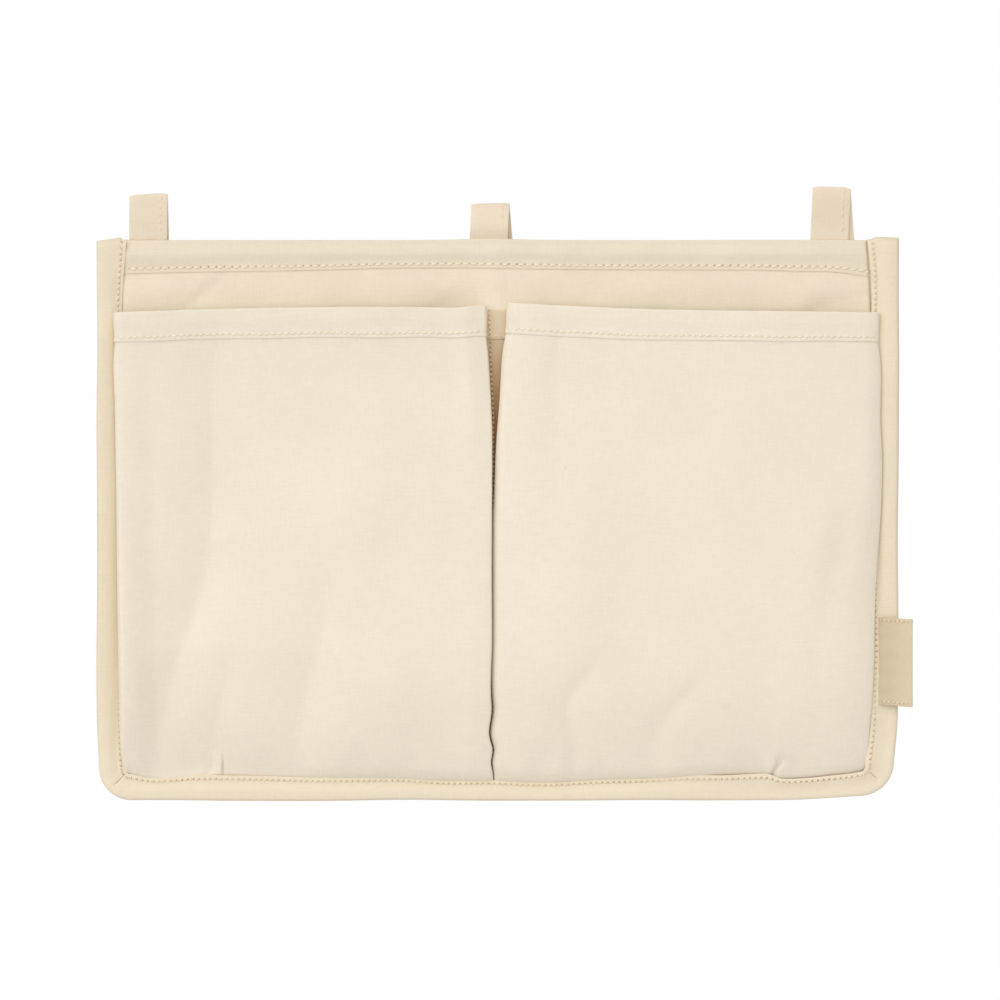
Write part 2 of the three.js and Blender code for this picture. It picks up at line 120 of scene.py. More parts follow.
RIGHT_FOOT = [(-3, -281.5), (20, -282.2), (50, -281.0), (79, -280.0), (99, -278.9), (128, -278.2),
              (133, -278.3), (135.5, -279.1), (137.8, -280.4), (142, -280.6), (147, -280.3),
              (164, -278.8), (174, -277.8), (179, -276.8), (182, -275.6), (184, -274.2)]
# Width of the binding at shares of its length, from its right end round to its left end
BINDING_WIDTHS = [(-0.01, 16.2), (0.037, 13.0), (0.06, 14.2), (0.12, 14.2), (0.2, 13.0), (0.25, 13.4),
                  (0.275, 14.0), (0.305, 12.4), (0.36, 11.2), (0.64, 11.2), (0.7, 12.4), (0.74, 12.9),
                  (0.77, 13.6), (0.92, 13.4), (0.962, 11.9), (1.01, 15.8)]


# Curves and surfaces

def curve_through(points, places):
    """Values at some places on a smooth curve through (place, value) points, level beyond its ends."""
    known, values = np.array(points, float).T
    slopes = np.gradient(values, known)
    places = np.clip(places, known[0], known[-1])
    k = np.clip(np.searchsorted(known, places) - 1, 0, len(known) - 2)
    width = known[k + 1] - known[k]
    f = (places - known[k]) / width
    return (
        (1 + 2 * f) * (1 - f) ** 2 * values[k]
        + f * (1 - f) ** 2 * width * slopes[k]
        + f**2 * (3 - 2 * f) * values[k + 1]
        + f**2 * (f - 1) * width * slopes[k + 1]
    )


def ease(low, high, value):
    """0 below low, 1 above high and a smooth step between them."""
    f = np.clip((value - low) / (high - low), 0, 1)
    return f * f * (3 - 2 * f)


def bump(middle, width, value):
    """A smooth hump of height 1 at the middle."""
    return np.exp(-(((value - middle) / width) ** 2))


def unevenness(x, z, scale, seed, waves=9):
    """Gentle random waves about one scale long, mostly between -1 and 1."""
    draw = np.random.default_rng(seed)
    total = 0
    for _ in range(waves):
        turn, phase = draw.uniform(0, 2 * math.pi, 2)
        length = scale * draw.uniform(0.7, 1.7)
        total = total + np.cos(2 * math.pi * (x * math.cos(turn) + z * math.sin(turn)) / length + phase)
    return total / math.sqrt(waves)


def grid_of(x, y, z):
    """One array of points from three arrays that broadcast to rows by columns."""
    return np.stack(np.broadcast_arrays(x, y, z), axis=-1).astype(float)


def flat_measures(points):
    """How far each column and each row lies from the first, along the cloth's middle row and column."""
    across = np.linalg.norm(np.diff(points[len(points) // 2], axis=0), axis=-1)
    along = np.linalg.norm(np.diff(points[:, points.shape[1] // 2], axis=0), axis=-1)
    return np.append(0, np.cumsum(across)), np.append(0, np.cumsum(along))


def surface_normals(points):
    """Unit normals of a grid, on the side from which columns run right and rows run up."""
    across = np.gradient(points, axis=1)
    along = np.gradient(points, axis=0)
    normals = np.cross(across, along)
    return normals / np.maximum(np.linalg.norm(normals, axis=-1, keepdims=True), 1e-9)


def between(values, rows, columns):
    """A grid's values at places between its rows and columns."""
    i = np.clip(np.floor(rows).astype(int), 0, values.shape[0] - 2)
    j = np.clip(np.floor(columns).astype(int), 0, values.shape[1] - 2)
    f = (rows - i)[..., None]
    g = (columns - j)[..., None]
    low = values[i, j] * (1 - g) + values[i, j + 1] * g
    high = values[i + 1, j] * (1 - g) + values[i + 1, j + 1] * g
    return low * (1 - f) + high * f


def on_cloth(points, across, along):
    """Points and normals on a cloth at flat places in millimetres from its first column and row."""
    columns, rows = flat_measures(points)
    across, along = np.broadcast_arrays(np.asarray(across, float), np.asarray(along, float))
    j = np.interp(across, columns, np.arange(len(columns)))
    i = np.interp(along, rows, np.arange(len(rows)))
    normals = between(surface_normals(points), i, j)
    return between(points, i, j), normals / np.linalg.norm(normals, axis=-1, keepdims=True)


# Pieces

def new_piece(name, bm, material):
    """A finished bmesh as an object at the origin."""
    mesh = bpy.data.meshes.new(name)
    bm.to_mesh(mesh)
    bm.free()
    mesh.shade_smooth()
    mesh.materials.append(material)
    piece = bpy.data.objects.new(name, mesh)
    bpy.context.scene.collection.objects.link(piece)
    return piece


def make_cloth(name, points, thickness, material):
    """A cloth through a grid of middle points in millimetres, with its flat measures as its UVs."""
    rows, columns = points.shape[0] - 1, points.shape[1] - 1
    across, along = flat_measures(points)
    bm = bmesh.new()
    bmesh.ops.create_grid(bm, x_segments=columns, y_segments=rows, size=0.5)
    uv = bm.loops.layers.uv.new("Flat")
    for vertex in bm.verts:
        i = round((vertex.co.y + 0.5) * rows)
        j = round((vertex.co.x + 0.5) * columns)
        vertex.co = points[i, j] * MM
        for loop in vertex.link_loops:
            loop[uv].uv = (across[j] * MM, along[i] * MM)
    piece = new_piece(name, bm, material)
    wall = piece.modifiers.new("Thickness", "SOLIDIFY")
    wall.thickness = thickness * MM
    wall.offset = 0
    edge = piece.modifiers.new("Soft edge", "BEVEL")
    edge.width = 0.25 * thickness * MM
    edge.segments = 2
    edge.limit_method = "ANGLE"
    edge.angle_limit = math.radians(50)
    return piece


STITCH_SHARE = 0.64  # length of the shown thread between two needle holes


def sew(name, runs, sizes, material):
    """One piece of stitches. A run is the points and normals of its needle holes, in millimetres."""
    thread = sizes.thread_width
    bm = bmesh.new()
    for points, normals in runs:
        for start, end, normal in zip(points[:-1], points[1:], (normals[:-1] + normals[1:]) / 2):
            along = Vector(end - start) * MM * STITCH_SHARE
            out = Vector(normal).normalized()
            side = along.cross(out).normalized()
            out = side.cross(along).normalized()
            middle = Vector((start + end) / 2) * MM + out * (0.15 * thread)
            matrix = Matrix.LocRotScale(middle, None, None)
            turn = Matrix((side * thread, out * (0.6 * thread), along)).transposed().to_4x4()
            bmesh.ops.create_uvsphere(bm, u_segments=6, v_segments=4, radius=0.5, matrix=matrix @ turn)
    return new_piece(name, bm, material)


def hole_places(start, end, pitch):
    """Needle holes at whole pitches between two places along a row, in millimetres."""
    return np.arange(math.ceil(start / pitch), math.floor(end / pitch) + 1) * pitch


# Materials

def math_node(tree, operation, *values):
    """A math node's output; each value is a number or a socket."""
    made = tree.nodes.new("ShaderNodeMath")
    made.operation = operation
    for socket, value in zip(made.inputs, values):
        if isinstance(value, bpy.types.NodeSocket):
            tree.links.new(value, socket)
        else:
            socket.default_value = value
    return made.outputs[0]


def mix_colours(tree, share, low, high):
    """A colour mixed by a share; each colour is a tuple or a socket."""
    made = tree.nodes.new("ShaderNodeMix")
    made.data_type = "RGBA"
    tree.links.new(share, made.inputs["Factor"])
    for socket, value in ((made.inputs[6], low), (made.inputs[7], high)):
        if isinstance(value, bpy.types.NodeSocket):
            tree.links.new(value, socket)
        else:
            socket.default_value = value
    return made.outputs[2]


def new_group(name, inputs, outputs):
    """An empty shader node group with float or vector inputs and float outputs."""
    tree = bpy.data.node_groups.new(name, "ShaderNodeTree")
    for label, kind in inputs:
        tree.interface.new_socket(label, in_out="INPUT", socket_type=kind)
    for label in outputs:
        tree.interface.new_socket(label, in_out="OUTPUT", socket_type="NodeSocketFloat")
    return tree, tree.nodes.new("NodeGroupInput"), tree.nodes.new("NodeGroupOutput")


def stretched_noise(tree, x, y, detail):
    """Noise on two coordinates that are already scaled."""
    place = tree.nodes.new("ShaderNodeCombineXYZ")
    tree.links.new(x, place.inputs["X"])
    tree.links.new(y, place.inputs["Y"])
    noise = tree.nodes.new("ShaderNodeTexNoise")
    noise.noise_dimensions = "2D"
    noise.inputs["Scale"].default_value = 1
    noise.inputs["Detail"].default_value = detail
    tree.links.new(place.outputs[0], noise.inputs["Vector"])
    return noise.outputs[0]


def plain_weave_group():
    """Threads over and under each other, and the uneven thickness of their yarn."""
    name = "Plain weave"
    if name in bpy.data.node_groups:
        return bpy.data.node_groups[name]
    tree, source, result = new_group(
        name,
        [("Vector", "NodeSocketVector"), ("Pitch", "NodeSocketFloat")],
        ["Height", "Yarn"],
    )
    split = tree.nodes.new("ShaderNodeSeparateXYZ")
    tree.links.new(source.outputs["Vector"], split.inputs[0])
    x = math_node(tree, "DIVIDE", split.outputs["X"], source.outputs["Pitch"])
    y = math_node(tree, "DIVIDE", split.outputs["Y"], source.outputs["Pitch"])
    warp = math_node(tree, "ABSOLUTE", math_node(tree, "SINE", math_node(tree, "MULTIPLY", x, math.pi)))
    weft = math_node(tree, "ABSOLUTE", math_node(tree, "SINE", math_node(tree, "MULTIPLY", y, math.pi)))
    cell = math_node(tree, "ADD", math_node(tree, "FLOOR", x), math_node(tree, "FLOOR", y))
    over = math_node(tree, "FLOORED_MODULO", cell, 2)
    shown_warp = math_node(tree, "MULTIPLY", over, warp)
    shown_weft = math_node(tree, "MULTIPLY", math_node(tree, "SUBTRACT", 1, over), weft)
    threads = math_node(tree, "ADD", shown_warp, shown_weft)
    slub_x = stretched_noise(
        tree, math_node(tree, "MULTIPLY", x, 0.07), math_node(tree, "MULTIPLY", y, 0.5), 2)
    slub_y = stretched_noise(
        tree, math_node(tree, "MULTIPLY", x, 0.5), math_node(tree, "MULTIPLY", y, 0.08), 2)
    yarn = math_node(tree, "MULTIPLY", math_node(tree, "ADD", slub_x, slub_y), 0.5)
    height = math_node(tree, "MULTIPLY_ADD", yarn, 0.8, math_node(tree, "MULTIPLY", threads, 0.6))
    tree.links.new(height, result.inputs["Height"])
    tree.links.new(yarn, result.inputs["Yarn"])
    return tree


def needle_holes_group():
    """A row of small round holes at whole pitches along the cloth."""
    name = "Needle holes"
    if name in bpy.data.node_groups:
        return bpy.data.node_groups[name]
    tree, source, result = new_group(
        name,
        [("Vector", "NodeSocketVector"), ("Row", "NodeSocketFloat"), ("Pitch", "NodeSocketFloat"),
         ("Radius", "NodeSocketFloat")],
        ["Mask"],
    )
    split = tree.nodes.new("ShaderNodeSeparateXYZ")
    tree.links.new(source.outputs["Vector"], split.inputs[0])
    half = math_node(tree, "MULTIPLY", source.outputs["Pitch"], 0.5)
    along = math_node(tree, "PINGPONG", split.outputs["X"], half)
    across = math_node(tree, "SUBTRACT", split.outputs["Y"], source.outputs["Row"])
    square = math_node(tree, "MULTIPLY_ADD", along, along, math_node(tree, "MULTIPLY", across, across))
    away = math_node(tree, "DIVIDE", math_node(tree, "SQRT", square), source.outputs["Radius"])
    mask = math_node(tree, "SMOOTH_MIN", math_node(tree, "SUBTRACT", 1.5, away), 1, 0.3)
    tree.links.new(math_node(tree, "MAXIMUM", mask, 0), result.inputs["Mask"])
    return tree


def mottle_group():
    """Broad soft differences of tone, and a few darker flecks."""
    name = "Cloth mottle"
    if name in bpy.data.node_groups:
        return bpy.data.node_groups[name]
    tree, source, result = new_group(
        name, [("Vector", "NodeSocketVector"), ("Scale", "NodeSocketFloat")], ["Tone", "Fleck"])
    noise = tree.nodes.new("ShaderNodeTexNoise")
    noise.inputs["Detail"].default_value = 4
    tree.links.new(source.outputs["Vector"], noise.inputs["Vector"])
    tree.links.new(source.outputs["Scale"], noise.inputs["Scale"])
    tree.links.new(noise.outputs[0], result.inputs["Tone"])
    specks = tree.nodes.new("ShaderNodeTexNoise")
    specks.inputs["Detail"].default_value = 1
    tree.links.new(source.outputs["Vector"], specks.inputs["Vector"])
    tree.links.new(math_node(tree, "MULTIPLY", source.outputs["Scale"], 22), specks.inputs["Scale"])
    fleck = math_node(tree, "MULTIPLY", math_node(tree, "SUBTRACT", specks.outputs[0], 0.71), 9)
    fleck = math_node(tree, "MINIMUM", math_node(tree, "MAXIMUM", fleck, 0), 1)
    tree.links.new(fleck, result.inputs["Fleck"])
    return tree


def length_share_group(axis):
    """0 before one place along a cloth's X or Y, 1 after another, and a smooth step between them."""
    name = f"Length share {axis}"
    if name in bpy.data.node_groups:
        return bpy.data.node_groups[name]
    tree, source, result = new_group(
        name,
        [("Vector", "NodeSocketVector"), ("Start", "NodeSocketFloat"), ("End", "NodeSocketFloat")],
        ["Share"],
    )
    split = tree.nodes.new("ShaderNodeSeparateXYZ")
    tree.links.new(source.outputs["Vector"], split.inputs[0])
    ramp = tree.nodes.new("ShaderNodeMapRange")
    ramp.interpolation_type = "SMOOTHSTEP"
    tree.links.new(split.outputs[axis], ramp.inputs["Value"])
    tree.links.new(source.outputs["Start"], ramp.inputs["From Min"])
    tree.links.new(source.outputs["End"], ramp.inputs["From Max"])
    tree.links.new(ramp.outputs["Result"], result.inputs["Share"])
    return tree


def placed_group(tree, group, vector, **values):
    """A node group in a material, with its coordinates linked and its values set."""
    node = tree.nodes.new("ShaderNodeGroup")
    node.node_tree = group
    tree.links.new(vector, node.inputs["Vector"])
    for label, value in values.items():
        node.inputs[label.title()].default_value = value
    return node.outputs


def shade(colour, times):
    """A colour made lighter or darker, with full alpha."""
    return tuple(min(1, c * times) for c in colour[:3]) + (1,)


def hole_painted_shade(colour):
    """Painted shade: the warm dark inside a needle hole, put into a cloth's colour."""
    return (0.5 * colour[0], 0.37 * colour[1], 0.24 * colour[2], 1)


def cloth_material(name, colour, sizes, pitch=1.0, rows=(), stitch=1.0, holes=0.7, painted_shade=None,
                   roughness=0.92, relief=0.5, sheen=0.1):
    """Woven cloth with its yarn, broad tone and flecks, needle holes painted dark as shade, and painted shade
    at one end.
    """
    material = bpy.data.materials.new(name)
    material.use_nodes = True
    tree = material.node_tree
    shader = tree.nodes["Principled BSDF"]
    flat = tree.nodes.new("ShaderNodeUVMap")
    flat.uv_map = "Flat"
    place = flat.outputs[0]
    weave = placed_group(tree, plain_weave_group(), place, pitch=sizes.weave_pitch * pitch)
    mottle = placed_group(tree, mottle_group(), place, scale=28)
    broad = math_node(tree, "MULTIPLY", mottle["Tone"], 0.4)
    tone = math_node(tree, "MULTIPLY_ADD", weave["Yarn"], 0.6, broad)
    even = math_node(tree, "MULTIPLY", tone, 0.88)
    threads = math_node(tree, "MULTIPLY_ADD", weave["Height"], 0.12, even)
    base = mix_colours(tree, threads, shade(colour, 0.89), shade(colour, 1.09))
    base = mix_colours(tree, math_node(tree, "MULTIPLY", mottle["Fleck"], 0.16), base, shade(colour, 0.45))
    # painted shade: a tint darkens the cloth towards one end, where shade falls on it
    if painted_shade:
        axis, start, end, tint = painted_shade
        share = placed_group(tree, length_share_group(axis), place, start=start * MM, end=end * MM)["Share"]
        tinted = tree.nodes.new("ShaderNodeMix")
        tinted.data_type = "RGBA"
        tinted.blend_type = "MULTIPLY"
        tree.links.new(math_node(tree, "SUBTRACT", 1, share), tinted.inputs["Factor"])
        tree.links.new(base, tinted.inputs[6])
        tinted.inputs[7].default_value = tint
        base = tinted.outputs[2]
    height = weave["Height"]
    for row in rows:
        mask = placed_group(
            tree, needle_holes_group(), place, row=row * MM, pitch=sizes.stitch_pitch * stitch,
            radius=sizes.hole_radius)["Mask"]
        depth = math_node(tree, "MULTIPLY", math_node(tree, "SUBTRACT", mottle["Tone"], 0.2), 3.2 * holes)
        mask = math_node(tree, "MULTIPLY", mask, math_node(tree, "MINIMUM", depth, 1))
        # painted shade: each needle hole is darkened in the colour, besides its dip in the bump
        base = mix_colours(tree, mask, base, hole_painted_shade(colour))
        height = math_node(tree, "MULTIPLY_ADD", mask, -2.0, height)
    tree.links.new(base, shader.inputs["Base Color"])
    rough = math_node(tree, "MULTIPLY_ADD", tone, 0.16, roughness - 0.08)
    tree.links.new(rough, shader.inputs["Roughness"])
    relief_node = tree.nodes.new("ShaderNodeBump")
    relief_node.inputs["Strength"].default_value = relief
    relief_node.inputs["Distance"].default_value = 0.25 * sizes.weave_pitch * pitch
    tree.links.new(height, relief_node.inputs["Height"])
    tree.links.new(relief_node.outputs[0], shader.inputs["Normal"])
    shader.inputs["Specular IOR Level"].default_value = 0.2
    shader.inputs["Sheen Weight"].default_value = sheen
    shader.inputs["Sheen Roughness"].default_value = 0.5
    return material


def fibre_material(name, colour, scale, roughness=0.95):
    """Felted or twisted fibres on the piece's own coordinates."""
    material = bpy.data.materials.new(name)
    material.use_nodes = True
    tree = material.node_tree
    shader = tree.nodes["Principled BSDF"]
    place = tree.nodes.new("ShaderNodeTexCoord").outputs["Object"]
    mottle = placed_group(tree, mottle_group(), place, scale=scale)
    base = mix_colours(tree, mottle["Tone"], shade(colour, 0.8), shade(colour, 1.15))
    base = mix_colours(tree, math_node(tree, "MULTIPLY", mottle["Fleck"], 0.3), base, shade(colour, 0.6))
    tree.links.new(base, shader.inputs["Base Color"])
    rough = math_node(tree, "MULTIPLY_ADD", mottle["Tone"], 0.1, roughness - 0.05)
    tree.links.new(rough, shader.inputs["Roughness"])
    relief = tree.nodes.new("ShaderNodeBump")
    relief.inputs["Strength"].default_value = 0.6
    relief.inputs["Distance"].default_value = 0.0002
    tree.links.new(mottle["Tone"], relief.inputs["Height"])
    tree.links.new(relief.outputs[0], shader.inputs["Normal"])
    shader.inputs["Specular IOR Level"].default_value = 0.25
    return material


def thread_material(context, kind="hem", tone=(1, 1, 1)):
    """The sewing thread of one kind of seam."""
    name = f"{kind}_thread"
    if name in bpy.data.materials:
        return bpy.data.materials[name]
    colour = [c * share for c, share in zip(context.scene.caddy_colours.thread, tone)]
    return fibre_material(name, colour, 900)


# Settings

def linear(red, green, blue):
    """An sRGB colour, 0 to 255, as linear values."""
    return tuple(
        c / 255 / 12.92 if c <= 10 else ((c / 255 + 0.055) / 1.055) ** 2.4 for c in (red, green, blue))


def colour_setting(label, words, default):
    """A colour that a user may change."""
    return bpy.props.FloatVectorProperty(
        name=label, description=words, default=default, size=3, min=0, max=1, subtype="COLOR")


def length_setting(label, words, default):
    """A length that a user may change."""
    return bpy.props.FloatProperty(name=label, description=words, default=default, min=0, unit="LENGTH")


class CaddySizes(bpy.types.PropertyGroup):
    """Sizes of the caddy's sewing and cloth."""

    stitch_pitch: length_setting("Stitch length", "Distance between needle holes", 0.0037)
    hole_radius: length_setting("Hole radius", "Radius of a needle hole", 0.00045)
    thread_width: length_setting("Thread width", "Width of the sewing thread", 0.0011)
    weave_pitch: length_setting("Weave pitch", "Distance between threads of the canvas", 0.00055)
    seam_margin: length_setting("Seam margin", "Stitches from a hem's or binding's edge", 0.0022)
    mouth_depth: length_setting("Mouth depth", "Pocket depth at the mouth, beside the pleats", 0.008)
    belly_depth: length_setting("Belly depth", "Pocket depth above the rounded base", 0.012)
    pocket_hem: length_setting("Pocket hem", "Height of the hems at the pocket mouths", 0.0166)
    creasing: bpy.props.FloatProperty(
        name="Creasing", description="Strength of the cloth's unevenness", default=1, min=0, max=3,
        subtype="FACTOR")


class CaddyColours(bpy.types.PropertyGroup):
    """Colours of the caddy's cloths."""

    pocket: colour_setting("Pockets", "Canvas of the pockets", linear(242, 231, 210))
    # painted shade: the strip is the pockets' canvas, set darker and browner for the shade in the gap between
    # the pockets
    strip: colour_setting("Strip", "Canvas of the strip between the pockets", linear(225, 205, 176))
    panel: colour_setting("Panel", "Canvas of the panel and its top hem", linear(238, 225, 201))
    lining: colour_setting("Lining", "Cotton on the back", linear(233, 219, 193))
    felt: colour_setting("Interlining", "Felt inside the panel", linear(226, 216, 196))
    binding: colour_setting("Binding", "Tape round the edges", linear(237, 223, 197))
    strap: colour_setting("Loops", "Strap of the hanging loops", linear(237, 221, 196))
    label: colour_setting("Label", "Ribbon of the side label", linear(222, 205, 173))
    thread: colour_setting("Thread", "Sewing thread", linear(255, 236, 209))


# Panel

RIGHT_INSET = (2.1, 2.7)  # the right binding hangs this far inside the frame's edge, at its top and foot
LEFT_LEAN, RIGHT_LEAN = 1.3, 2.1  # how far the sides lean in above the corners
BINDING_CORNER = 16.0
FOOT_RISE = 2.6  # the bottom binding's rise towards its right end
EDGE_DISTANCE = 6.5  # from the panel's edges to the binding's outer line


def drawn_in(x, z):
    """How far the sides are drawn in from the frame's straight edges, to the left."""
    low, high = RIGHT_INSET
    right = low + (high - low) * ease(TOP, -240, z) + RIGHT_LEAN * ease(-246, -282, z)
    return right * ease(0, 150, x) - LEFT_LEAN * ease(-246, -284, z) * ease(0, 150, -x)


def raised(x, z):
    """How far the bottom edge rises towards its right end."""
    return FOOT_RISE * ease(135, 192, x) * ease(-255, -285, z)


def inside_binding(x, z):
    """Places of a cloth's grid moved inside the binding's drawn-in side and round corners."""
    x, z = np.broadcast_arrays(x, z)
    x, z = x - drawn_in(x, z), z + raised(x, z)
    side_x = np.where(x > 0, RIGHT_EDGE - RIGHT_INSET[1] - RIGHT_LEAN, -LEFT_EDGE - LEFT_LEAN)
    centre_x = side_x - BINDING_CORNER
    away_x = np.maximum(np.abs(x) - centre_x, 0)
    away_z = np.maximum(BOTTOM + BINDING_CORNER - z, 0)
    reach = np.hypot(away_x, away_z)
    keep = np.minimum(1, (BINDING_CORNER - EDGE_DISTANCE) / np.maximum(reach, 1e-6))
    keep = np.where((away_x > 0) & (away_z > 0), keep, 1)
    return np.sign(x) * (np.abs(x) - away_x * (1 - keep)), z + away_z * (1 - keep)


PANEL_MIDDLE = (PANEL_FRONT + PANEL_BACK) / 2
MOUTH_DENT = -51  # height of the dents behind the pocket mouths
CREASE_X, CREASE_Z, CREASE_SLOPE = -147.5, -40, 0.75  # the slanting crease above the left pocket
GROOVE, GROOVE_LEAN = 182.2, 0.07  # the dip along the right binding's stitched edge, and its lean
GROOVE_SPAN = (180.3, 190.7)  # where the panel's columns lie closer together


def panel_depth(x, z, creasing):
    """Middle of the panel's cloth, which puffs out above the pockets and is flat at its edges."""
    free = ease(TOP - 1, TOP - 8, z) * ease(193, 184, np.abs(x))
    swell = 0.35 * unevenness(x, z, 62, 4) + 0.15 * unevenness(x, z, 23, 5) + 1.3 * ease(-58, -46, z)
    ridge = bump(-2.5, 5, x) * ease(-60, -40, z)
    dent = (2.8 * bump(-24, 12, x) + 2.2 * ease(146, 158, x)) * bump(MOUTH_DENT, 9, z)
    dent = dent + 1.3 * ease(156, 183, x) * ease(-60, -48, z)
    across_crease = CREASE_SLOPE * (x - CREASE_X) - (z - CREASE_Z)
    crease = -0.8 * bump(0, 4, across_crease) * bump(-148, 11, x)
    groove = 1.3 * bump(0, 0.8, x - GROOVE + GROOVE_LEAN * (z + 14)) * ease(-56, -48, z)
    puff = free * np.maximum(swell + ridge - dent + crease, -0.1)
    return PANEL_MIDDLE - creasing * (puff - groove)


def panel_columns():
    """Columns of the panel and its hem, closer together along the right binding's stitched edge."""
    even = np.linspace(-LAYER_EDGE, LAYER_EDGE, 201)
    close = np.linspace(*GROOVE_SPAN, 25)
    return np.sort(np.append(even, close))[None, :]


def panel_points(creasing):
    """The panel's cloth."""
    x = panel_columns()
    z = np.linspace(LAYER_FOOT, TOP - 2.2, 141)[:, None]
    x, z = inside_binding(x, z)
    return grid_of(x, panel_depth(x, z, creasing), z)


class CADDY_OT_panel(bpy.types.Operator):
    """Makes the panel's cloth"""

    bl_idname = "caddy.panel"
    bl_label = "Panel"

    def execute(self, context):
        sizes, colours = context.scene.caddy_sizes, context.scene.caddy_colours
        points = panel_points(sizes.creasing)
        # painted light: the panel's canvas is a lighter copy of the canvas colour, against the shade from the
        # pocket mouths
        material = cloth_material("panel_canvas", shade(colours.panel, 1.04), sizes)
        piece = make_cloth("panel_cloth", points, CLOTH, material)
        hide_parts("back_panel")
        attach(piece, "panel")
        return {"FINISHED"}


# Top hem

TOP_HEM_STITCH = 1.06  # stitch length to the usual one


def top_hem_points(creasing):
    """The panel's top edge, folded forward and down; rows run from its lower edge over the fold."""
    x = panel_columns()
    edge = curve_through(TOP_HEM_EDGE, x) + 0.12 * unevenness(x, 0 * x, 24, 11)
    back = PANEL_MIDDLE
    crest = TOP - CLOTH / 2 - FOLD_RADIUS + 0.25 * unevenness(x, 0 * x, 90, 12) + 0.6 * bump(-5, 14, x)
    f = np.linspace(0, 1, 15)[:, None]
    z = edge + (crest - edge) * f
    up = z - edge
    puff = (0.35 * bump(0.62, 0.25, f) + 0.2 * unevenness(x, z, 30, 13)) * ease(2, 6, up)
    seam = -0.1 * bump(2.2, 1.1, up)
    laid = (CLOTH + PRESSED) / 2
    lifted = laid + (2 * FOLD_RADIUS - laid) * ease(3, 9, up)
    front = grid_of(x, panel_depth(x, z, creasing) - lifted - creasing * (puff + seam), z)
    turn = np.linspace(0, math.pi, 9)[1:, None]
    reach = back - front[-1:, :, 1]
    over = grid_of(
        x, back - reach * (1 + np.cos(turn)) / 2, crest + FOLD_RADIUS * np.sin(turn))
    leg = grid_of(x, back + 0 * x, crest - np.array([[0.5], [1.2]]))
    return np.concatenate([front, over, leg])


class CADDY_OT_top_hem(bpy.types.Operator):
    """Makes the panel's top hem and its stitches"""

    bl_idname = "caddy.top_hem"
    bl_label = "Top Hem"

    def execute(self, context):
        sizes, colours = context.scene.caddy_sizes, context.scene.caddy_colours
        points = top_hem_points(sizes.creasing)
        margin, pitch = sizes.seam_margin / MM, TOP_HEM_STITCH * sizes.stitch_pitch / MM
        # painted shade: the top hem is a darker copy of the same canvas colour
        material = cloth_material(
            "top_hem_canvas", shade(colours.panel, 0.975), sizes, rows=[margin], stitch=TOP_HEM_STITCH,
            holes=0.65)
        piece = make_cloth("top_hem_cloth", points, PRESSED, material)
        width = flat_measures(points)[0][-1]
        holes = hole_places(9, width - 10, pitch)
        seam, out = on_cloth(points, holes, margin - 0.3)
        stitches = sew("top_hem_stitches", [(seam + out * PRESSED / 2, out)], sizes, thread_material(context))
        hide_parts("top_hem")
        for part in (piece, stitches):
            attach(part, "panel")
        return {"FINISHED"}


# Interlining and lining

LINING_ROW = 12.6  # the top hem's stitches below the lining's top edge


class CADDY_OT_interlining(bpy.types.Operator):
    """Makes the felt inside the panel"""

    bl_idname = "caddy.interlining"
    bl_label = "Interlining"

    def execute(self, context):
        x = np.linspace(FELT_LOW[0], FELT_HIGH[0], 41)[None, :]
        z = np.linspace(FELT_LOW[2], FELT_HIGH[2], 29)[:, None]
        y = 0.1 * unevenness(x, z, 40, 21)
        x, z = inside_binding(x, z)
        points = grid_of(x, y, z)
        material = fibre_material("felt", context.scene.caddy_colours.felt, 160)
        piece = make_cloth("interlining_felt", points, FELT, material)
        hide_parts("panel_interlining")
        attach(piece, "panel")
        return {"FINISHED"}


def lining_points(creasing):
    """The lining, seen from the back: columns run from right to left, and the rim drops to the panel."""
    x = np.linspace(LAYER_EDGE, -LAYER_EDGE, 131)[None, :]
    z = np.linspace(LAYER_FOOT, TOP, 93)[:, None]
    inside = np.minimum(np.minimum(x + LAYER_EDGE, LAYER_EDGE - x), z - LAYER_FOOT)
    rise = ease(6, 13, inside) * (0.35 + 0.65 * ease(TOP - 1, TOP - 9, z))
    swell = 0.22 * unevenness(x, z, 70, 31) + 0.08 * unevenness(x, z, 26, 32)
    rim = PANEL_BACK + 0.7
    flat = LINING_BACK - CLOTH / 2
    y = rim + (flat - rim) * rise + creasing * swell * rise
    x, z = inside_binding(x, z)
    return grid_of(x, y, z)


class CADDY_OT_lining(bpy.types.Operator):
    """Makes the lining on the back, with the top hem's stitches showing through it"""

    bl_idname = "caddy.lining"
    bl_label = "Lining"

    def execute(self, context):
        sizes, colours = context.scene.caddy_sizes, context.scene.caddy_colours
        points = lining_points(sizes.creasing)
        pitch = sizes.stitch_pitch / MM
        width, length = flat_measures(points)[0][-1], flat_measures(points)[1][-1]
        row = length - LINING_ROW
        material = cloth_material("lining_cotton", colours.lining, sizes, pitch=0.8, rows=[row])
        piece = make_cloth("lining_cloth", points, CLOTH, material)
        seam, out = on_cloth(points, hole_places(9, width - 9, pitch), row)
        stitches = sew("lining_stitches", [(seam + out * CLOTH / 2, out)], sizes, thread_material(context))
        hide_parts("back_lining")
        for part in (piece, stitches):
            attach(part, "panel")
        return {"FINISHED"}


# Binding

END_SLANTS = (0.7, 2.2)  # how far the right and left ends drop from their inner to their outer side
FLANGE_DROP = 1.4  # the stitched flange starts this far below the roll's ends
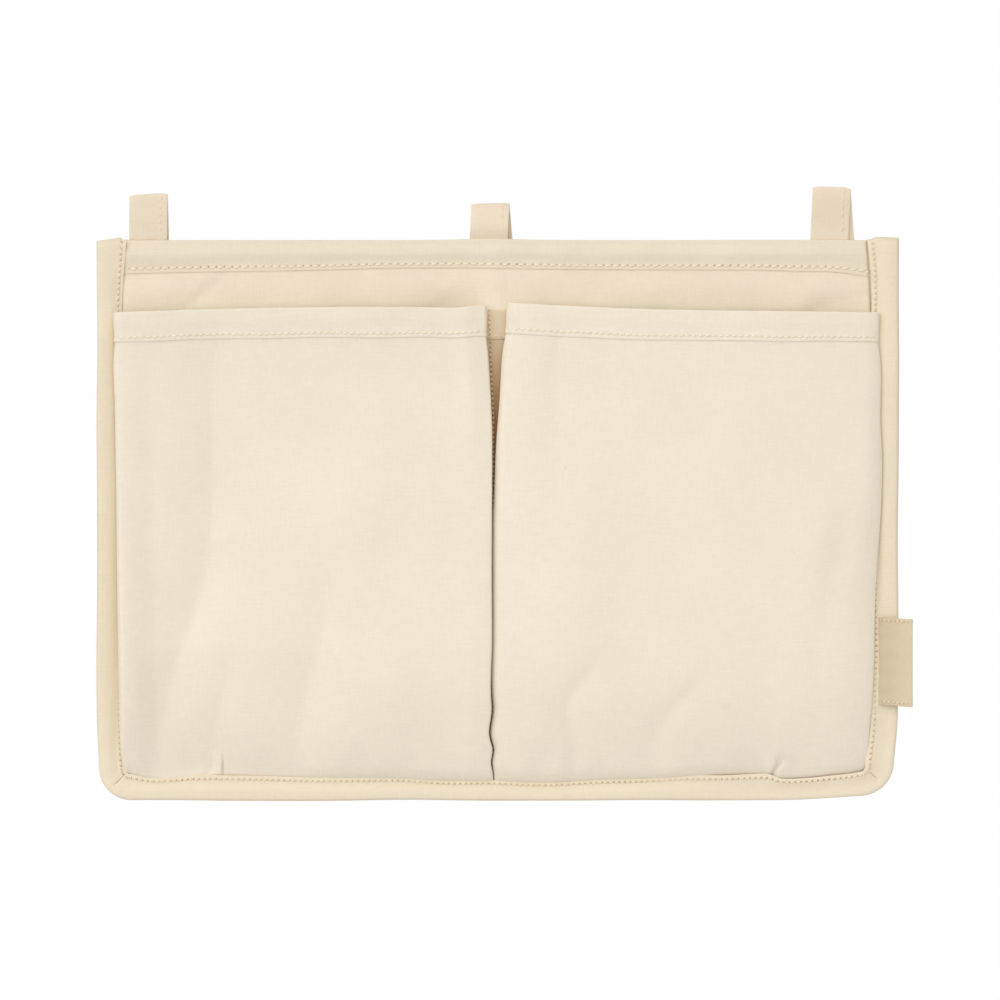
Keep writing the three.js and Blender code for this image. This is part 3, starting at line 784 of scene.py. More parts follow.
# Height of the binding's front from its inner to its outer edge: usual, beside the left pocket,
# in the lower right corner and at the left end
ROLL = [(0, 0.05), (0.1, 0.15), (0.2, 0.12), (0.3, 0.08), (0.42, 0.5), (0.56, 0.88), (0.7, 1.0),
        (0.84, 0.97), (0.94, 0.8), (1, 0.35)]
LEFT_ROLL = [(0, 0.0), (0.1, 0.06), (0.25, 0.14), (0.45, 0.5), (0.62, 0.79), (0.8, 0.97), (0.9, 1.0),
             (0.96, 0.9), (1, 0.4)]
LOW_ROLL = [(0, 0.9), (0.08, 1.0), (0.2, 0.85), (0.35, 0.55), (0.5, 0.35), (0.62, 0.27), (0.75, 0.28),
            (0.88, 0.3), (1, 0.1)]
LEFT_END_ROLL = [(0, 0.1), (0.1, 0.14), (0.2, 0.18), (0.3, 0.26), (0.42, 0.34), (0.55, 0.38), (0.7, 0.36),
                 (0.85, 0.28), (0.94, 0.18), (1, 0)]
ROLL_HEIGHT, LEFT_EXTRA = 1.7, 0.95  # height of the roll, and how much more it has beside the left pocket
BINDING_RISE = 1.4  # the binding's ends stand this far above the panel's top
BINDING_STITCH = 0.76  # stitch length to the usual one
BINDING_MARGIN = 1.5  # stitches from the binding's inner edges
BINDING_COLUMNS = 641
BINDING_LENGTH = 900  # about its length, along which it is uneven
EDGE_TURN = 1.2  # half of the outer edge's turn, in radians
EDGE_SHARE, EDGE_DEPTH = 0.063, 2.34  # the outer edge's reach inward, to the width, and its half depth
FOOT_COVER = -0.1  # how far the bottom binding reaches above the pockets' feet
BACK_STEP = 32  # the back follows the front's width at every so many columns


def binding_path(columns):
    """From the right end round to the left end: centres of the turn, outward directions, turns, shares."""
    top = TOP + BINDING_RISE
    side = top - BOTTOM - BINDING_CORNER
    foot = RIGHT_EDGE - LEFT_EDGE - 2 * BINDING_CORNER
    quarter = BINDING_CORNER * math.pi / 2
    stops = np.cumsum([0, side, quarter, foot, quarter, side])
    shares = np.interp(np.linspace(0, 5, columns), [0, 1, 2, 3, 4, 5], stops)
    turn = np.interp(shares, stops, [0, 0, math.pi / 2, math.pi / 2, math.pi, math.pi])
    right, left = RIGHT_EDGE - BINDING_CORNER, LEFT_EDGE + BINDING_CORNER
    low = BOTTOM + BINDING_CORNER
    x = np.interp(shares, stops, [right, right, right, left, left, left])
    z = np.interp(shares, stops, [top, low, low, low, low, top])
    out = np.stack([np.cos(turn), -np.sin(turn)], axis=-1)
    return np.stack([x, z], axis=-1), out, turn, shares / stops[-1]


def foot_line(x):
    """Height of the pockets' bottom edge."""
    return curve_through(LEFT_FOOT + RIGHT_FOOT[1:], x)


def binding_points(creasing):
    """The binding's skin: columns from its right end to its left end, rows from front to back."""
    centres, out, turn, share = binding_path(BINDING_COLUMNS)
    width = curve_through(BINDING_WIDTHS, share)
    low_x = centres[:, 0] - drawn_in(centres[:, 0], BOTTOM)
    covering = foot_line(low_x) + FOOT_COVER - BOTTOM - raised(low_x, BOTTOM)
    along_foot = ease(1.1, math.pi / 2, turn) * ease(math.pi - 1.1, math.pi / 2, turn)
    width = width + (covering - width) * along_foot
    f = np.concatenate([np.linspace(0, 0.8, 13), np.linspace(0.84, 0.97, 5)])[:, None]
    wave = 0.25 * unevenness(share * BINDING_LENGTH, 0 * share, 46, 41)[None, :]
    plump = ROLL_HEIGHT + 0.2 * unevenness(share * BINDING_LENGTH, 0 * share, 70, 42)[None, :]
    inward = width[None, :] * (1 - f) + wave * (1 - f)
    at_end = ease(0.945, 0.965, share)[None, :]
    on_left = ease(0.72, 0.78, share)[None, :] - at_end
    low_right = (ease(0.17, 0.22, share) * ease(0.42, 0.36, share))[None, :]
    usual = 1 - on_left - low_right - at_end
    roll = curve_through(ROLL, f) * usual + curve_through(LEFT_ROLL, f) * on_left
    roll = roll + curve_through(LOW_ROLL, f) * low_right + curve_through(LEFT_END_ROLL, f) * at_end
    front = LEAF_FRONT + 0.25 - plump * (1 + LEFT_EXTRA * on_left) * roll
    edge_turn = np.linspace(-EDGE_TURN, EDGE_TURN, 7)[:, None]
    middle = (LEAF_FRONT + REAR_LEAF_BACK) / 2
    edge_in = EDGE_SHARE * width[None, :] * (1 - np.cos(edge_turn))
    edge_y = middle + EDGE_DEPTH * np.sin(edge_turn) / math.sin(EDGE_TURN)
    g = np.linspace(0.03, 1, 13)[:, None]
    back_in = np.interp(share, share[::BACK_STEP], width[::BACK_STEP])[None, :] * g
    back = REAR_LEAF_BACK - 0.2 + 1.15 * np.sin(math.pi * g**0.6)
    inward = np.concatenate([inward, edge_in + 0 * wave, back_in])
    y = np.concatenate([front, edge_y + 0 * wave, back + 0 * wave])
    corner = sum(bump(middle_turn, 0.055, turn) for middle_turn in (math.pi / 4, 3 * math.pi / 4))
    crease = 1.8 * corner[None, :] * ease(0.2, 0.55, inward / width[None, :]) * (y < middle)
    y = y + creasing * crease
    ripple = 0.2 * unevenness(share * 945, 0 * share, 75, 43)[None, :]
    rest = np.maximum(BINDING_CORNER - 0.4 - inward + ripple, 0.15)
    ends = [share * BINDING_LENGTH, (1 - share) * BINDING_LENGTH]
    x = centres[None, :, 0] + out[None, :, 0] * rest
    z = centres[None, :, 1] + out[None, :, 1] * rest
    x = x - drawn_in(x, z)
    z = z + raised(x, z)
    reach = inward / width[None, :]
    sunk = 0.6 * ease(-57, -49, z) - 0.6 * ease(-34, -30, z)
    y = y + sunk * ease(0.5, 0.9, reach) * (y < middle)
    for from_end, slant in zip(ends, END_SLANTS):
        near = bump(0, 9, from_end)[None, :]
        z = z - near * (slant * (1 - reach) + FLANGE_DROP * ease(0.76, 0.84, reach))
        closing = ease(2.2, 0, from_end)[None, :] ** 2
        y = y + closing * 0.85 * (middle - y)
    return grid_of(x, y, z)


class CADDY_OT_binding(bpy.types.Operator):
    """Makes the binding round three edges and its stitches"""

    bl_idname = "caddy.binding"
    bl_label = "Binding"

    def execute(self, context):
        sizes, colours = context.scene.caddy_sizes, context.scene.caddy_colours
        margin, pitch = BINDING_MARGIN, BINDING_STITCH * sizes.stitch_pitch / MM
        points = binding_points(sizes.creasing)
        length, width = flat_measures(points)[0][-1], flat_measures(points)[1][-1]
        rows = [margin, width - margin]
        material = cloth_material(
            "binding_tape", colours.binding, sizes, pitch=0.8, rows=rows, stitch=BINDING_STITCH, holes=0.65)
        piece = make_cloth("binding_tape", points, TAPE, material)
        runs = []
        for row in rows:
            seam, out = on_cloth(points, hole_places(3, length - 3, pitch), row)
            runs.append((seam + out * TAPE / 2, out))
        thread = thread_material(context, "binding", (0.93, 0.91, 0.88))
        stitches = sew("binding_stitches", runs, sizes, thread)
        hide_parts("binding_left", "binding_bottom", "binding_right")
        for part in (piece, stitches):
            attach(part, "panel")
        return {"FINISHED"}


# Pockets

DIVIDER_LEFT, DIVIDER_RIGHT = -9.6, 7.4
DIVIDER_MIDDLE = -4.9  # its seam
DIVIDER_TOP = -47.6
DIVIDER_HEM = 14.6
DIVIDER_STITCH = 0.65  # stitch length to the usual one
STRIP_PAINTED_SHADE = (0.6, 0.36, 0.2, 1)  # painted shade: the strip is darker and browner low in the gap, where the pockets shade it
# Each pocket's lines, the place of its small tuck across its front, the rounds of its edges, its fullness,
# and by height the shares of its depth at its inner fold and its outer rim
POCKETS = [
    {"name": "left", "side": -1, "seam": DIVIDER_LEFT, "fold": LEFT_FOLD, "outer": LEFT_OUTER,
     "mouth": LEFT_MOUTH, "foot": LEFT_FOOT, "tuck": 0.737, "seed": 50,
     "edge_round": [(-280, 2.8), (-60, 2.8)], "overhang": 0.5, "fold_round": (1.0, 1.0), "edge_power": 1,
     "inner": ([(-280, 0.88), (-125, 0.88), (-100, 0.75), (-75, 0.7), (-44, 0.68)], 9), "rim_width": 24,
     "crown": 0.8, "foot_swell": 32,
     "rim": [(-280, 0.65), (-250, 1.0), (-215, 1.1), (-150, 1.0), (-60, 0.97)]},
    {"name": "right", "side": 1, "seam": DIVIDER_RIGHT, "fold": RIGHT_FOLD, "outer": RIGHT_OUTER,
     "mouth": RIGHT_MOUTH, "foot": RIGHT_FOOT, "tuck": 0.835, "seed": 60,
     "edge_round": [(-280, 14), (-262, 22), (-230, 28), (-190, 22), (-140, 12), (-60, 9)], "overhang": 0.19,
     "fold_round": (4.5, 3.4), "edge_power": 2, "inner": ([(-280, 0.9), (-44, 0.9)], 30), "rim_width": 40,
     "crown": 1.8, "foot_swell": 38,
     "rim": [(-280, 0.8), (-250, 0.95), (-200, 0.95), (-150, 0.85), (-60, 0.72)]},
]
BINDING_REACH = 186.6  # inner edge of the side bindings from the middle
PLEAT_BACK = 6.5  # how far an inner pleat folds back into its pocket
OVER_BINDING = 3.4  # height of the outer pleats above the panel where they lie on the binding
SEAM_ALLOWANCE = 5.0  # how far a pocket's cloth reaches under the side binding
EDGE_INSET = 0.8  # middle of the cloth inside a pocket's outer line
FOLD_UNDER = 1.2  # depth of the inner folds below their widest place
FOOT_ROUND, FOOT_SHARE = 7.0, 0.36  # the foot's round and its share of the depth
POCKET_STITCH = 0.88  # stitch length to the usual one
UNDER_ROWS, BASE_ROWS, FRONT_ROWS = 4, 14, 100
FRONT_COLUMNS, TUCK_COLUMNS = 120, 40
FOOT_HEIGHT, MOUTH_HEIGHT = -280.0, -46.5  # usual heights of a pocket's bottom seam and its mouth
UNDER_REACH = 6  # how far a pocket's cloth reaches below its bottom seam
MOUTH_DROP = 2.2  # a pocket's cloth ends this far below its mouth, inside the hem's fold
FOLD_RISE = 1.2  # where the hem's fold starts above the cloth's end
THINNEST = 0.6  # least depth of a pocket at its inner fold and its rim
HEM_INSET = (12, 14)  # columns of a pocket's cloth beyond its hem's first and last ends
CREASE_FADE = (14, 12)  # columns over which creases fade towards the inner fold and the rim
FOOT_PAINTED_SHADE = ("Y", 8, 80, (0.945, 0.945, 0.95, 1))  # painted shade: a pocket's canvas is darker towards its foot, and the span over which it fades

# Soft folds of each pocket: (height, place, depth) points, then how far the hollow spreads left and right
SOFT_FOLDS = {
    "left": [
        ([(-215, -156, 0), (-190, -148, 4.4), (-154, -142, 8.4), (-110, -142, 8.4), (-65, -140, 4.8),
          (-46, -137, 1.8)], 31, 80),
        ([(-284, -168, 1.8), (-249, -166, 5.2), (-214, -157, 6.0), (-184, -147, 3.2),
          (-160, -143, 0)], 24, 24),
        ([(-276, -101, 1.8), (-254, -98.7, 3.6), (-214, -89.8, 3.6), (-174, -82.4, 1.2),
          (-160, -80, 0)], 15, 20),
        ([(-280, -140, 2.0), (-250, -139.5, 3.0), (-225, -134, 2.4), (-200, -129, 0)], 12, 30),
        ([(-284, -152, 0.6), (-277, -152, 1.6), (-266, -152, 1.0), (-255, -152, 0.3),
          (-245, -152, 0)], 45, 45),
    ],
    "right": [
        ([(-274, 38.5, 0.9), (-266, 38.2, 1.7), (-243, 33.7, 2.0), (-224, 47, 1.2), (-212, 54, 0)], 8, 13),
        ([(-277, 71, 0.7), (-268, 73, 1.4), (-254, 79.4, 1.6), (-234, 96.8, 1.1), (-222, 106, 0)], 9, 13),
        ([(-185, 28, 0), (-165, 28.5, 0.8), (-110, 28.8, 1.3), (-62, 29, 1.3), (-46, 29, 0.8)], 8, 22),
        ([(-100, 57, 0), (-92, 56, 0.6), (-78, 53, 0.5), (-62, 51, 0)], 6, 8),
        ([(-284, 178, 1.0), (-277, 178, 2.8), (-262, 178, 1.4), (-245, 178, 0.4), (-230, 178, 0)], 50, 40),
    ],
}
FOLD_SOFTNESS = 2.5  # how round the bottom of a soft fold is


def half_turn(count):
    """Angles of a half turn, from -90 to 90 degrees."""
    return np.linspace(-math.pi / 2, math.pi / 2, count)[None, :]


def fall(f):
    """0 at 0 and 1 at 1, with a soft bend at the start and a straight slope after it."""
    f = np.clip(f, 0, 1)
    return 1.08 * f**2 / (f + 0.08)


def pocket_points(pocket, sizes):
    """A pocket's cloth: rows from the bottom seam to the mouth, columns from left to right."""
    side = pocket["side"]
    mouth_depth, belly = sizes.mouth_depth / MM, sizes.belly_depth / MM
    angle = np.linspace(0, math.pi / 2, BASE_ROWS + 1)[1:]
    climb = np.linspace(0, 1, FRONT_ROWS + 1)[1:]
    rounding = np.concatenate([np.zeros(UNDER_ROWS), np.sin(angle), np.ones(FRONT_ROWS)])[:, None]
    lift = np.concatenate([np.zeros(UNDER_ROWS), 1 - np.cos(angle), np.ones(FRONT_ROWS)])[:, None]
    lift = lift * FOOT_ROUND
    rise = np.concatenate([np.zeros(UNDER_ROWS + BASE_ROWS), climb])[:, None]
    sinking = np.linspace(UNDER_REACH, 0, UNDER_ROWS)
    drop = np.concatenate([sinking, np.zeros(BASE_ROWS + FRONT_ROWS)])[:, None]
    height = FOOT_HEIGHT - drop + lift + (MOUTH_HEIGHT - FOOT_HEIGHT - FOOT_ROUND) * rise
    swell = 1 - np.exp(-np.maximum(height - FOOT_HEIGHT, 0) / pocket["foot_swell"])
    fullness = FOOT_SHARE * rounding + (1 - FOOT_SHARE) * swell
    depth = belly * fullness * (1 + (mouth_depth / belly - 1) * ease(LEAN_LINE, MOUTH_HEIGHT, height))
    fold = curve_through(pocket["fold"], height) + side * CLOTH / 2
    outer = curve_through(pocket["outer"], height) - side * EDGE_INSET
    inner_share, inner_width = pocket["inner"]
    inner = np.maximum(curve_through(inner_share, height) * depth, THINNEST)
    rim = np.maximum(curve_through(pocket["rim"], height) * depth, THINNEST)
    round_x, round_depth = pocket["fold_round"]
    lip = np.maximum(inner - round_depth, 0.6 * inner)
    under = np.maximum(lip - FOLD_UNDER, 0.6 * lip)
    over = np.minimum(OVER_BINDING, 0.55 * rim)
    hook = side * np.minimum(BINDING_REACH, np.abs(outer) - 0.4)
    edge_round = curve_through(pocket["edge_round"], height)
    start = pocket["seam"] + 0 * fold
    bend = start + side * 2
    q = np.linspace(0, 1, 4)[None, :-1]
    laid = (start + (bend - start) * q, 0 * q + 0 * fold)
    a = half_turn(11)[:, :-1]
    turn = (bend + side * PLEAT_BACK * np.cos(a), under / 2 * (1 + np.sin(a)))
    q = np.linspace(0, 1, 7)[None, :-1]
    back = (bend + (fold + side * round_x - bend) * q, under + 0 * q)
    a = half_turn(11)[:, :-1]
    reach = np.where(a > 0, inner - lip, lip - under)
    power = np.where(a > 0, pocket["edge_power"], 1)
    edge = (fold + side * round_x * (1 - np.cos(a)), lip + reach * np.sign(a) * np.abs(np.sin(a)) ** power)
    u = np.linspace(0, 1, FRONT_COLUMNS + 1)
    u = np.sort(np.append(u, pocket["tuck"] + np.linspace(-0.05, 0.05, TUCK_COLUMNS)))[None, :]
    inner_x, outer_x = fold + side * round_x, outer - side * edge_round
    front_x = inner_x + (outer_x - inner_x) * u
    from_inner, from_rim = np.abs(front_x - inner_x), np.abs(outer_x - front_x)
    crowned = depth + pocket["crown"] * fullness * (1 - (2 * u - 1) ** 4)
    crowned = crowned - (depth - inner) * fall(1 - from_inner / inner_width)
    crowned = crowned - (depth - rim) * fall(1 - from_rim / pocket["rim_width"])
    front = (front_x, crowned)
    a = -half_turn(13)[:, 1:]
    widest = over + pocket["overhang"] * (rim - over)
    reach = np.where(a > 0, rim - widest, widest - over)
    power = np.where(a > 0, pocket["edge_power"], 1)
    round_depths = widest + reach * np.sign(a) * np.abs(np.sin(a)) ** power
    rounded = (outer_x + side * edge_round * np.cos(a), round_depths)
    q = np.linspace(0, 1, 4)[None, 1:]
    lapped = (outer_x + (hook - outer_x) * q, over + 0 * q)
    a = -half_turn(9)[:, 1:]
    hooked = (hook - side * np.cos(a), over / 2 * (1 + np.sin(a)))
    tucked = (hook + side * SEAM_ALLOWANCE * q, 0 * q + 0 * fold)
    parts = [laid, turn, back, edge, front, rounded, lapped, hooked, tucked]
    x = np.concatenate([part[0] for part in parts], axis=1)
    d = np.concatenate([part[1] + 0 * part[0] for part in parts], axis=1)
    low = curve_through(pocket["foot"], x)
    high = curve_through(pocket["mouth"], x) - MOUTH_DROP
    z = low - drop + lift + (high - low - FOOT_ROUND) * rise
    columns = np.arange(x.shape[1])
    first = sum(part[0].shape[1] for part in parts[:4])
    last = first + u.shape[1]
    inside = ease(first, first + CREASE_FADE[0], columns) * ease(last, last - CREASE_FADE[1], columns)
    creases, tuck = pocket_creases(pocket, x, z), small_tuck(pocket, x, z)
    held = ease(0, 0.5, fullness)
    d = d + sizes.creasing * inside[None, :] * (held * creases + ease(0, 0.25, fullness) * tuck)
    points = grid_of(x, LAID - d, z)
    return points if side > 0 else points[:, ::-1]


def soft_fold(points, left, right, x, z):
    """A hollow along a line, which spreads differently to its left and right."""
    heights, places, depths = zip(*points)
    away = x - curve_through(list(zip(heights, places)), z)
    spread = (np.hypot(away, FOLD_SOFTNESS) - FOLD_SOFTNESS) / np.where(away < 0, left, right)
    return -curve_through(list(zip(heights, depths)), z) * np.exp(-spread)


def pocket_creases(pocket, x, z):
    """How far a pocket's front swells out: broad waves, puckers and soft folds."""
    seed = pocket["seed"]
    swell = 0.7 * unevenness(x, z, 105, seed) + 0.3 * unevenness(x, z, 44, seed + 1)
    flutes = 0.3 * ease(-190, -275, z) * unevenness(x, 0.12 * z, 34, seed + 2)
    puckers = 0.2 * bump(-62, 5, z) * unevenness(x, 0 * z, 13, seed + 3)
    puckers = puckers + 0.35 * ease(-258, -278, z) * unevenness(x, 0.2 * z, 17, seed + 4)
    folds = sum(soft_fold(*fold, x, z) for fold in SOFT_FOLDS[pocket["name"]])
    return swell + flutes + puckers + folds


def small_tuck(pocket, x, z):
    """A small tuck in the bottom seam: on the left a ridge between notches, on the right a dent."""
    if pocket["side"] < 0:
        hooked = x + 0.17 * np.maximum(z + 270.5, 0) ** 2
        ridge = 1.3 * ease(-143, -139, hooked) * ease(-137.2, -138, hooked) * ease(-265.5, -270, z)
        notches = bump(-144.6, 1.3, x) + bump(-137.6, 0.9, x)
        return ridge - 0.8 * notches * ease(-273, -277, z)
    dent = -1.7 * bump(136.2, 1.4, x - 0.7 * (z + 276)) * ease(-267, -273, z)
    return dent + 0.6 * bump(133.5, 2.2, x) * ease(-266, -276, z)


def hem_points(cloth, sizes, seed):
    """A hem folded outward over a pocket's mouth; rows run from its lower edge up and over the fold."""
    first, last = HEM_INSET[0], cloth.shape[1] - HEM_INSET[1]
    spacing = np.linalg.norm(cloth[-1] - cloth[-5], axis=-1).mean() / 4
    columns = np.arange(first, last)[None, :]
    normals = surface_normals(cloth)
    up = cloth[-1] - cloth[-2]
    up = (up / np.linalg.norm(up, axis=-1, keepdims=True))[None, first:last]
    height = sizes.pocket_hem / MM + 0.25 * unevenness(cloth[-1, first:last, 0], 0, 45, seed)[None, :]
    f = np.linspace(0, 1, 13)[:, None]
    leaf = height - (MOUTH_DROP + FOLD_RISE)
    rows = len(cloth) - 1 - leaf * (1 - f) / spacing
    offset = (CLOTH + PRESSED) / 2 + 0.03
    x = between(cloth, rows, columns + 0 * rows)[..., 0]
    puff = 0.25 * bump(0.7, 0.2, f) - 0.05 * bump(2.2, 1.1, leaf * f)
    puff = puff + 0.1 * unevenness(x, 14 * f, 17, seed + 1) * ease(0.15, 0.4, f)
    front = between(cloth, rows, columns + 0 * rows)
    out = between(normals, rows, columns + 0 * rows)
    out = out / np.linalg.norm(out, axis=-1, keepdims=True)
    front = front + out * (offset + puff * sizes.creasing)[..., None]
    lip, top_out = cloth[-1:, first:last], normals[-1:, first:last]
    a = np.linspace(0, math.pi, 9)[:, None, None]
    gap = offset / 2
    over = lip + top_out * gap * (1 + np.cos(a)) + up * (FOLD_RISE + gap * np.sin(a))
    leg = lip + up * np.array([0.8, 0.3])[:, None, None]
    return np.concatenate([front, over, leg])


def move_with_pocket(piece):
    """Bakes the piece's placement into its mesh."""
    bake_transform(piece)


class CADDY_OT_pockets(bpy.types.Operator):
    """Makes the two pleated pockets, their hems and stitches"""

    bl_idname = "caddy.pockets"
    bl_label = "Pockets"

    def execute(self, context):
        sizes, colours = context.scene.caddy_sizes, context.scene.caddy_colours
        margin, pitch = sizes.seam_margin / MM, POCKET_STITCH * sizes.stitch_pitch / MM
        # painted shade darkens each pocket's canvas towards its foot
        canvas = cloth_material("pocket_canvas", colours.pocket, sizes, painted_shade=FOOT_PAINTED_SHADE)
        hemmed = cloth_material(
            "pocket_hem_canvas", colours.pocket, sizes, rows=[margin], stitch=POCKET_STITCH, holes=0.28)
        for pocket in POCKETS:
            name = pocket["name"]
            points = pocket_points(pocket, sizes)
            cloth = make_cloth(f"{name}_pocket_cloth", points, CLOTH, canvas)
            folded = hem_points(points, sizes, pocket["seed"] + 7)
            hem = make_cloth(f"{name}_pocket_hem_cloth", folded, PRESSED, hemmed)
            width = flat_measures(folded)[0][-1]
            seam, out = on_cloth(folded, hole_places(4, width - 4, pitch), margin)
            stitches = sew(f"{name}_pocket_stitches", [(seam + out * PRESSED / 2, out)], sizes,
                           thread_material(context))
            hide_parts(*(f"{name}_{part}" for part in (
                "pocket_front", "pocket_base", "outer_pleat", "inner_pleat")))
            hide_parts(f"{name}_pocket_hem")
            for part in (cloth, hem, stitches):
                move_with_pocket(part)
        return {"FINISHED"}


# Divider

def divider_points():
    """The strip between the pockets: columns run up it and over its hem, rows from right to left."""
    x = np.linspace(DIVIDER_RIGHT, DIVIDER_LEFT, 21)[:, None]
    crest = DIVIDER_TOP - CLOTH / 2 - FOLD_RADIUS
    rise = np.linspace(DIVIDER_FOOT, crest, 90)
    turn = np.linspace(0, math.pi, 9)[1:]
    hem = np.linspace(crest, DIVIDER_TOP - DIVIDER_HEM, 10)[1:]
    hem_y = np.linspace(-2 * FOLD_RADIUS, -CLOTH, len(hem))
    z = np.concatenate([rise, crest + FOLD_RADIUS * np.sin(turn), hem])[None, :]
    y = np.concatenate([0 * rise, FOLD_RADIUS * (np.cos(turn) - 1), hem_y])[None, :]
    hollow = 0.35 * bump(DIVIDER_MIDDLE, 1.6, x)
    return grid_of(x + curve_through(DIVIDER_SEAM, z) - DIVIDER_MIDDLE, LAID + y + hollow, z)


class CADDY_OT_divider(bpy.types.Operator):
    """Makes the strip between the pockets and the seam that holds it"""

    bl_idname = "caddy.divider"
    bl_label = "Divider"

    def execute(self, context):
        sizes, colours = context.scene.caddy_sizes, context.scene.caddy_colours
        points = divider_points()
        pitch = DIVIDER_STITCH * sizes.stitch_pitch / MM
        row = DIVIDER_RIGHT - DIVIDER_MIDDLE
        length = flat_measures(points)[0][-1]
        # painted shade: the strip's colour and its darker foot stand in for the shade deep in the gap
        material = cloth_material(
            "divider_canvas", colours.strip, sizes, rows=[row], stitch=DIVIDER_STITCH, holes=1,
            painted_shade=("X", length - 80, length - 10, STRIP_PAINTED_SHADE))
        piece = make_cloth("divider_cloth", points, CLOTH, material)
        hem = DIVIDER_HEM
        low, low_out = on_cloth(points, hole_places(2, length - 2 * hem - 2, pitch), row)
        high, high_out = on_cloth(points, hole_places(length - hem + 1, length - 0.5, pitch), row)
        across, across_out = on_cloth(points, length - 1.4, np.arange(1, 16, pitch))
        runs = [(low + low_out * CLOTH / 2, low_out), (high - high_out * CLOTH / 2, -high_out),
                (across - across_out * CLOTH / 2, -across_out)]
        # painted shade: the divider's thread is set darker and browner than the other threads, for the shade
        # in the gap
        thread = thread_material(context, "divider", (0.94, 0.87, 0.77))
        stitches = sew("divider_stitches", runs, sizes, thread)
        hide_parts("pocket_divider")
        for part in (piece, stitches):
            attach(part, "panel")
        return {"FINISHED"}


# Hanging loops

# Each loop's middle, how far its front and rear legs stand aside at the root, its tilt, how far it stands
# open to its solid's depth, and its bend from root to top
LOOPS = [
    {"name": "left", "body": "left_loop", "node": "loop_left",
     "x": -174.3, "front": -0.3, "rear": 0.6, "tilt": 0.07, "open": 0.18,
     "bend": [(0, 0), (0.5, -0.7), (1, -1.2)]},
    {"name": "centre", "body": "centre_loop", "node": "loop_centre",
     "x": -4.7, "front": -1.0, "rear": 1.6, "tilt": 0.03, "open": 0.32,
     "bend": [(0, 0), (0.15, -0.6), (0.3, -1.0), (0.6, 0.2), (1, 2.6)]},
    {"name": "right", "body": "right_loop", "node": "loop_right",
     "x": 164.4, "front": -1.0, "rear": 2.2, "tilt": -0.03, "open": 0.2,
     "bend": [(0, 0), (0.25, -0.2), (0.6, -2.0), (0.88, -3.3), (1, -3.3)]},
]
STRAP_WIDTH = 18.8
TAIL = 15.0  # how far the legs reach below the panel's top edge
LEG_PLACE = 0.62  # the legs in front of and behind the middle
LOOP_MARGIN = 3.4  # stitches from a strap's edge


def loop_points(loop):
    """A strap bent into a loop: columns run up its front leg and down its rear one, rows right to left."""
    low, high = node_box(loop["node"])
    rise, depth = high[2] - TOP - STRAP / 2, max(loop["open"] * (high[1] - low[1]) - STRAP, 0.2)
    turn = np.linspace(0, 2 * math.pi, 61)
    swell = np.sign(np.sin(turn)) * np.abs(np.sin(turn)) ** 0.8
    y = -depth / 2 * swell - LEG_PLACE * np.cos(turn / 2)
    z = TOP + rise / 2 * (1 - np.cos(turn))
    tail = np.linspace(TAIL, 1, 6)
    y = np.concatenate([0 * tail - LEG_PLACE, y, 0 * tail + LEG_PLACE])[None, :]
    z = np.concatenate([TOP - tail, z, TOP - tail[::-1]])[None, :]
    across = np.linspace(STRAP_WIDTH / 2, -STRAP_WIDTH / 2, 15)[:, None]
    height = np.clip((z - TOP) / rise, 0, 1)
    half = z.shape[1] // 2
    rear = (np.arange(z.shape[1]) > half)[None, :]
    shift = np.where(rear, loop["rear"], loop["front"]) * (1 - height)
    x = loop["x"] + across + shift
    z = z + loop["tilt"] * across * height - 0.5 * (2 * across / STRAP_WIDTH) ** 8 * height**3
    cupped = 0.25 * (2 * across / STRAP_WIDTH) ** 4 * np.where(rear, -1, 1)
    return grid_of(x, y + cupped * height + curve_through(loop["bend"], height), z)


class CADDY_OT_loops(bpy.types.Operator):
    """Makes the three hanging loops and their stitches"""

    bl_idname = "caddy.loops"
    bl_label = "Loops"

    def execute(self, context):
        sizes, colours = context.scene.caddy_sizes, context.scene.caddy_colours
        pitch = sizes.stitch_pitch / MM
        material = cloth_material("strap_tape", colours.strap, sizes, pitch=0.8)
        for loop in LOOPS:
            points = loop_points(loop)
            strap = make_cloth(f"{loop['name']}_loop_strap", points, STRAP, material)
            length = flat_measures(points)[0][-1]
            seam, out = on_cloth(points, hole_places(TAIL + 1, length - TAIL - 1, pitch), LOOP_MARGIN)
            stitches = sew(f"{loop['name']}_loop_stitches", [(seam + out * (STRAP / 2 - 0.16), out)], sizes,
                           thread_material(context, "loop", (0.92, 0.9, 0.87)))
            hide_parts(loop["node"], f"{loop['node']}_tails")
            for part in (strap, stitches):
                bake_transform(part)
        return {"FINISHED"}


# Side label

LABEL_ROOT = 187.6
LABEL_TIP = 203.9
LABEL_STITCH = 0.58  # stitch length to the usual one
LABEL_HEM = 1.2  # how far the visible ribbon ends above the frame's
LABEL_MARGIN = 1.6  # stitches from the ribbon's upper and lower edges
RIBBON_FOLD = 0.26  # middle radius of the ribbon's fold
# Depth of the ribbon's front from its root to beyond its tip
LABEL_FRONT = [(187, -5.4), (188.3, -6.0), (190, -7.1), (193, -7.7), (197, -7.5), (201, -6.9), (206, -6.5)]


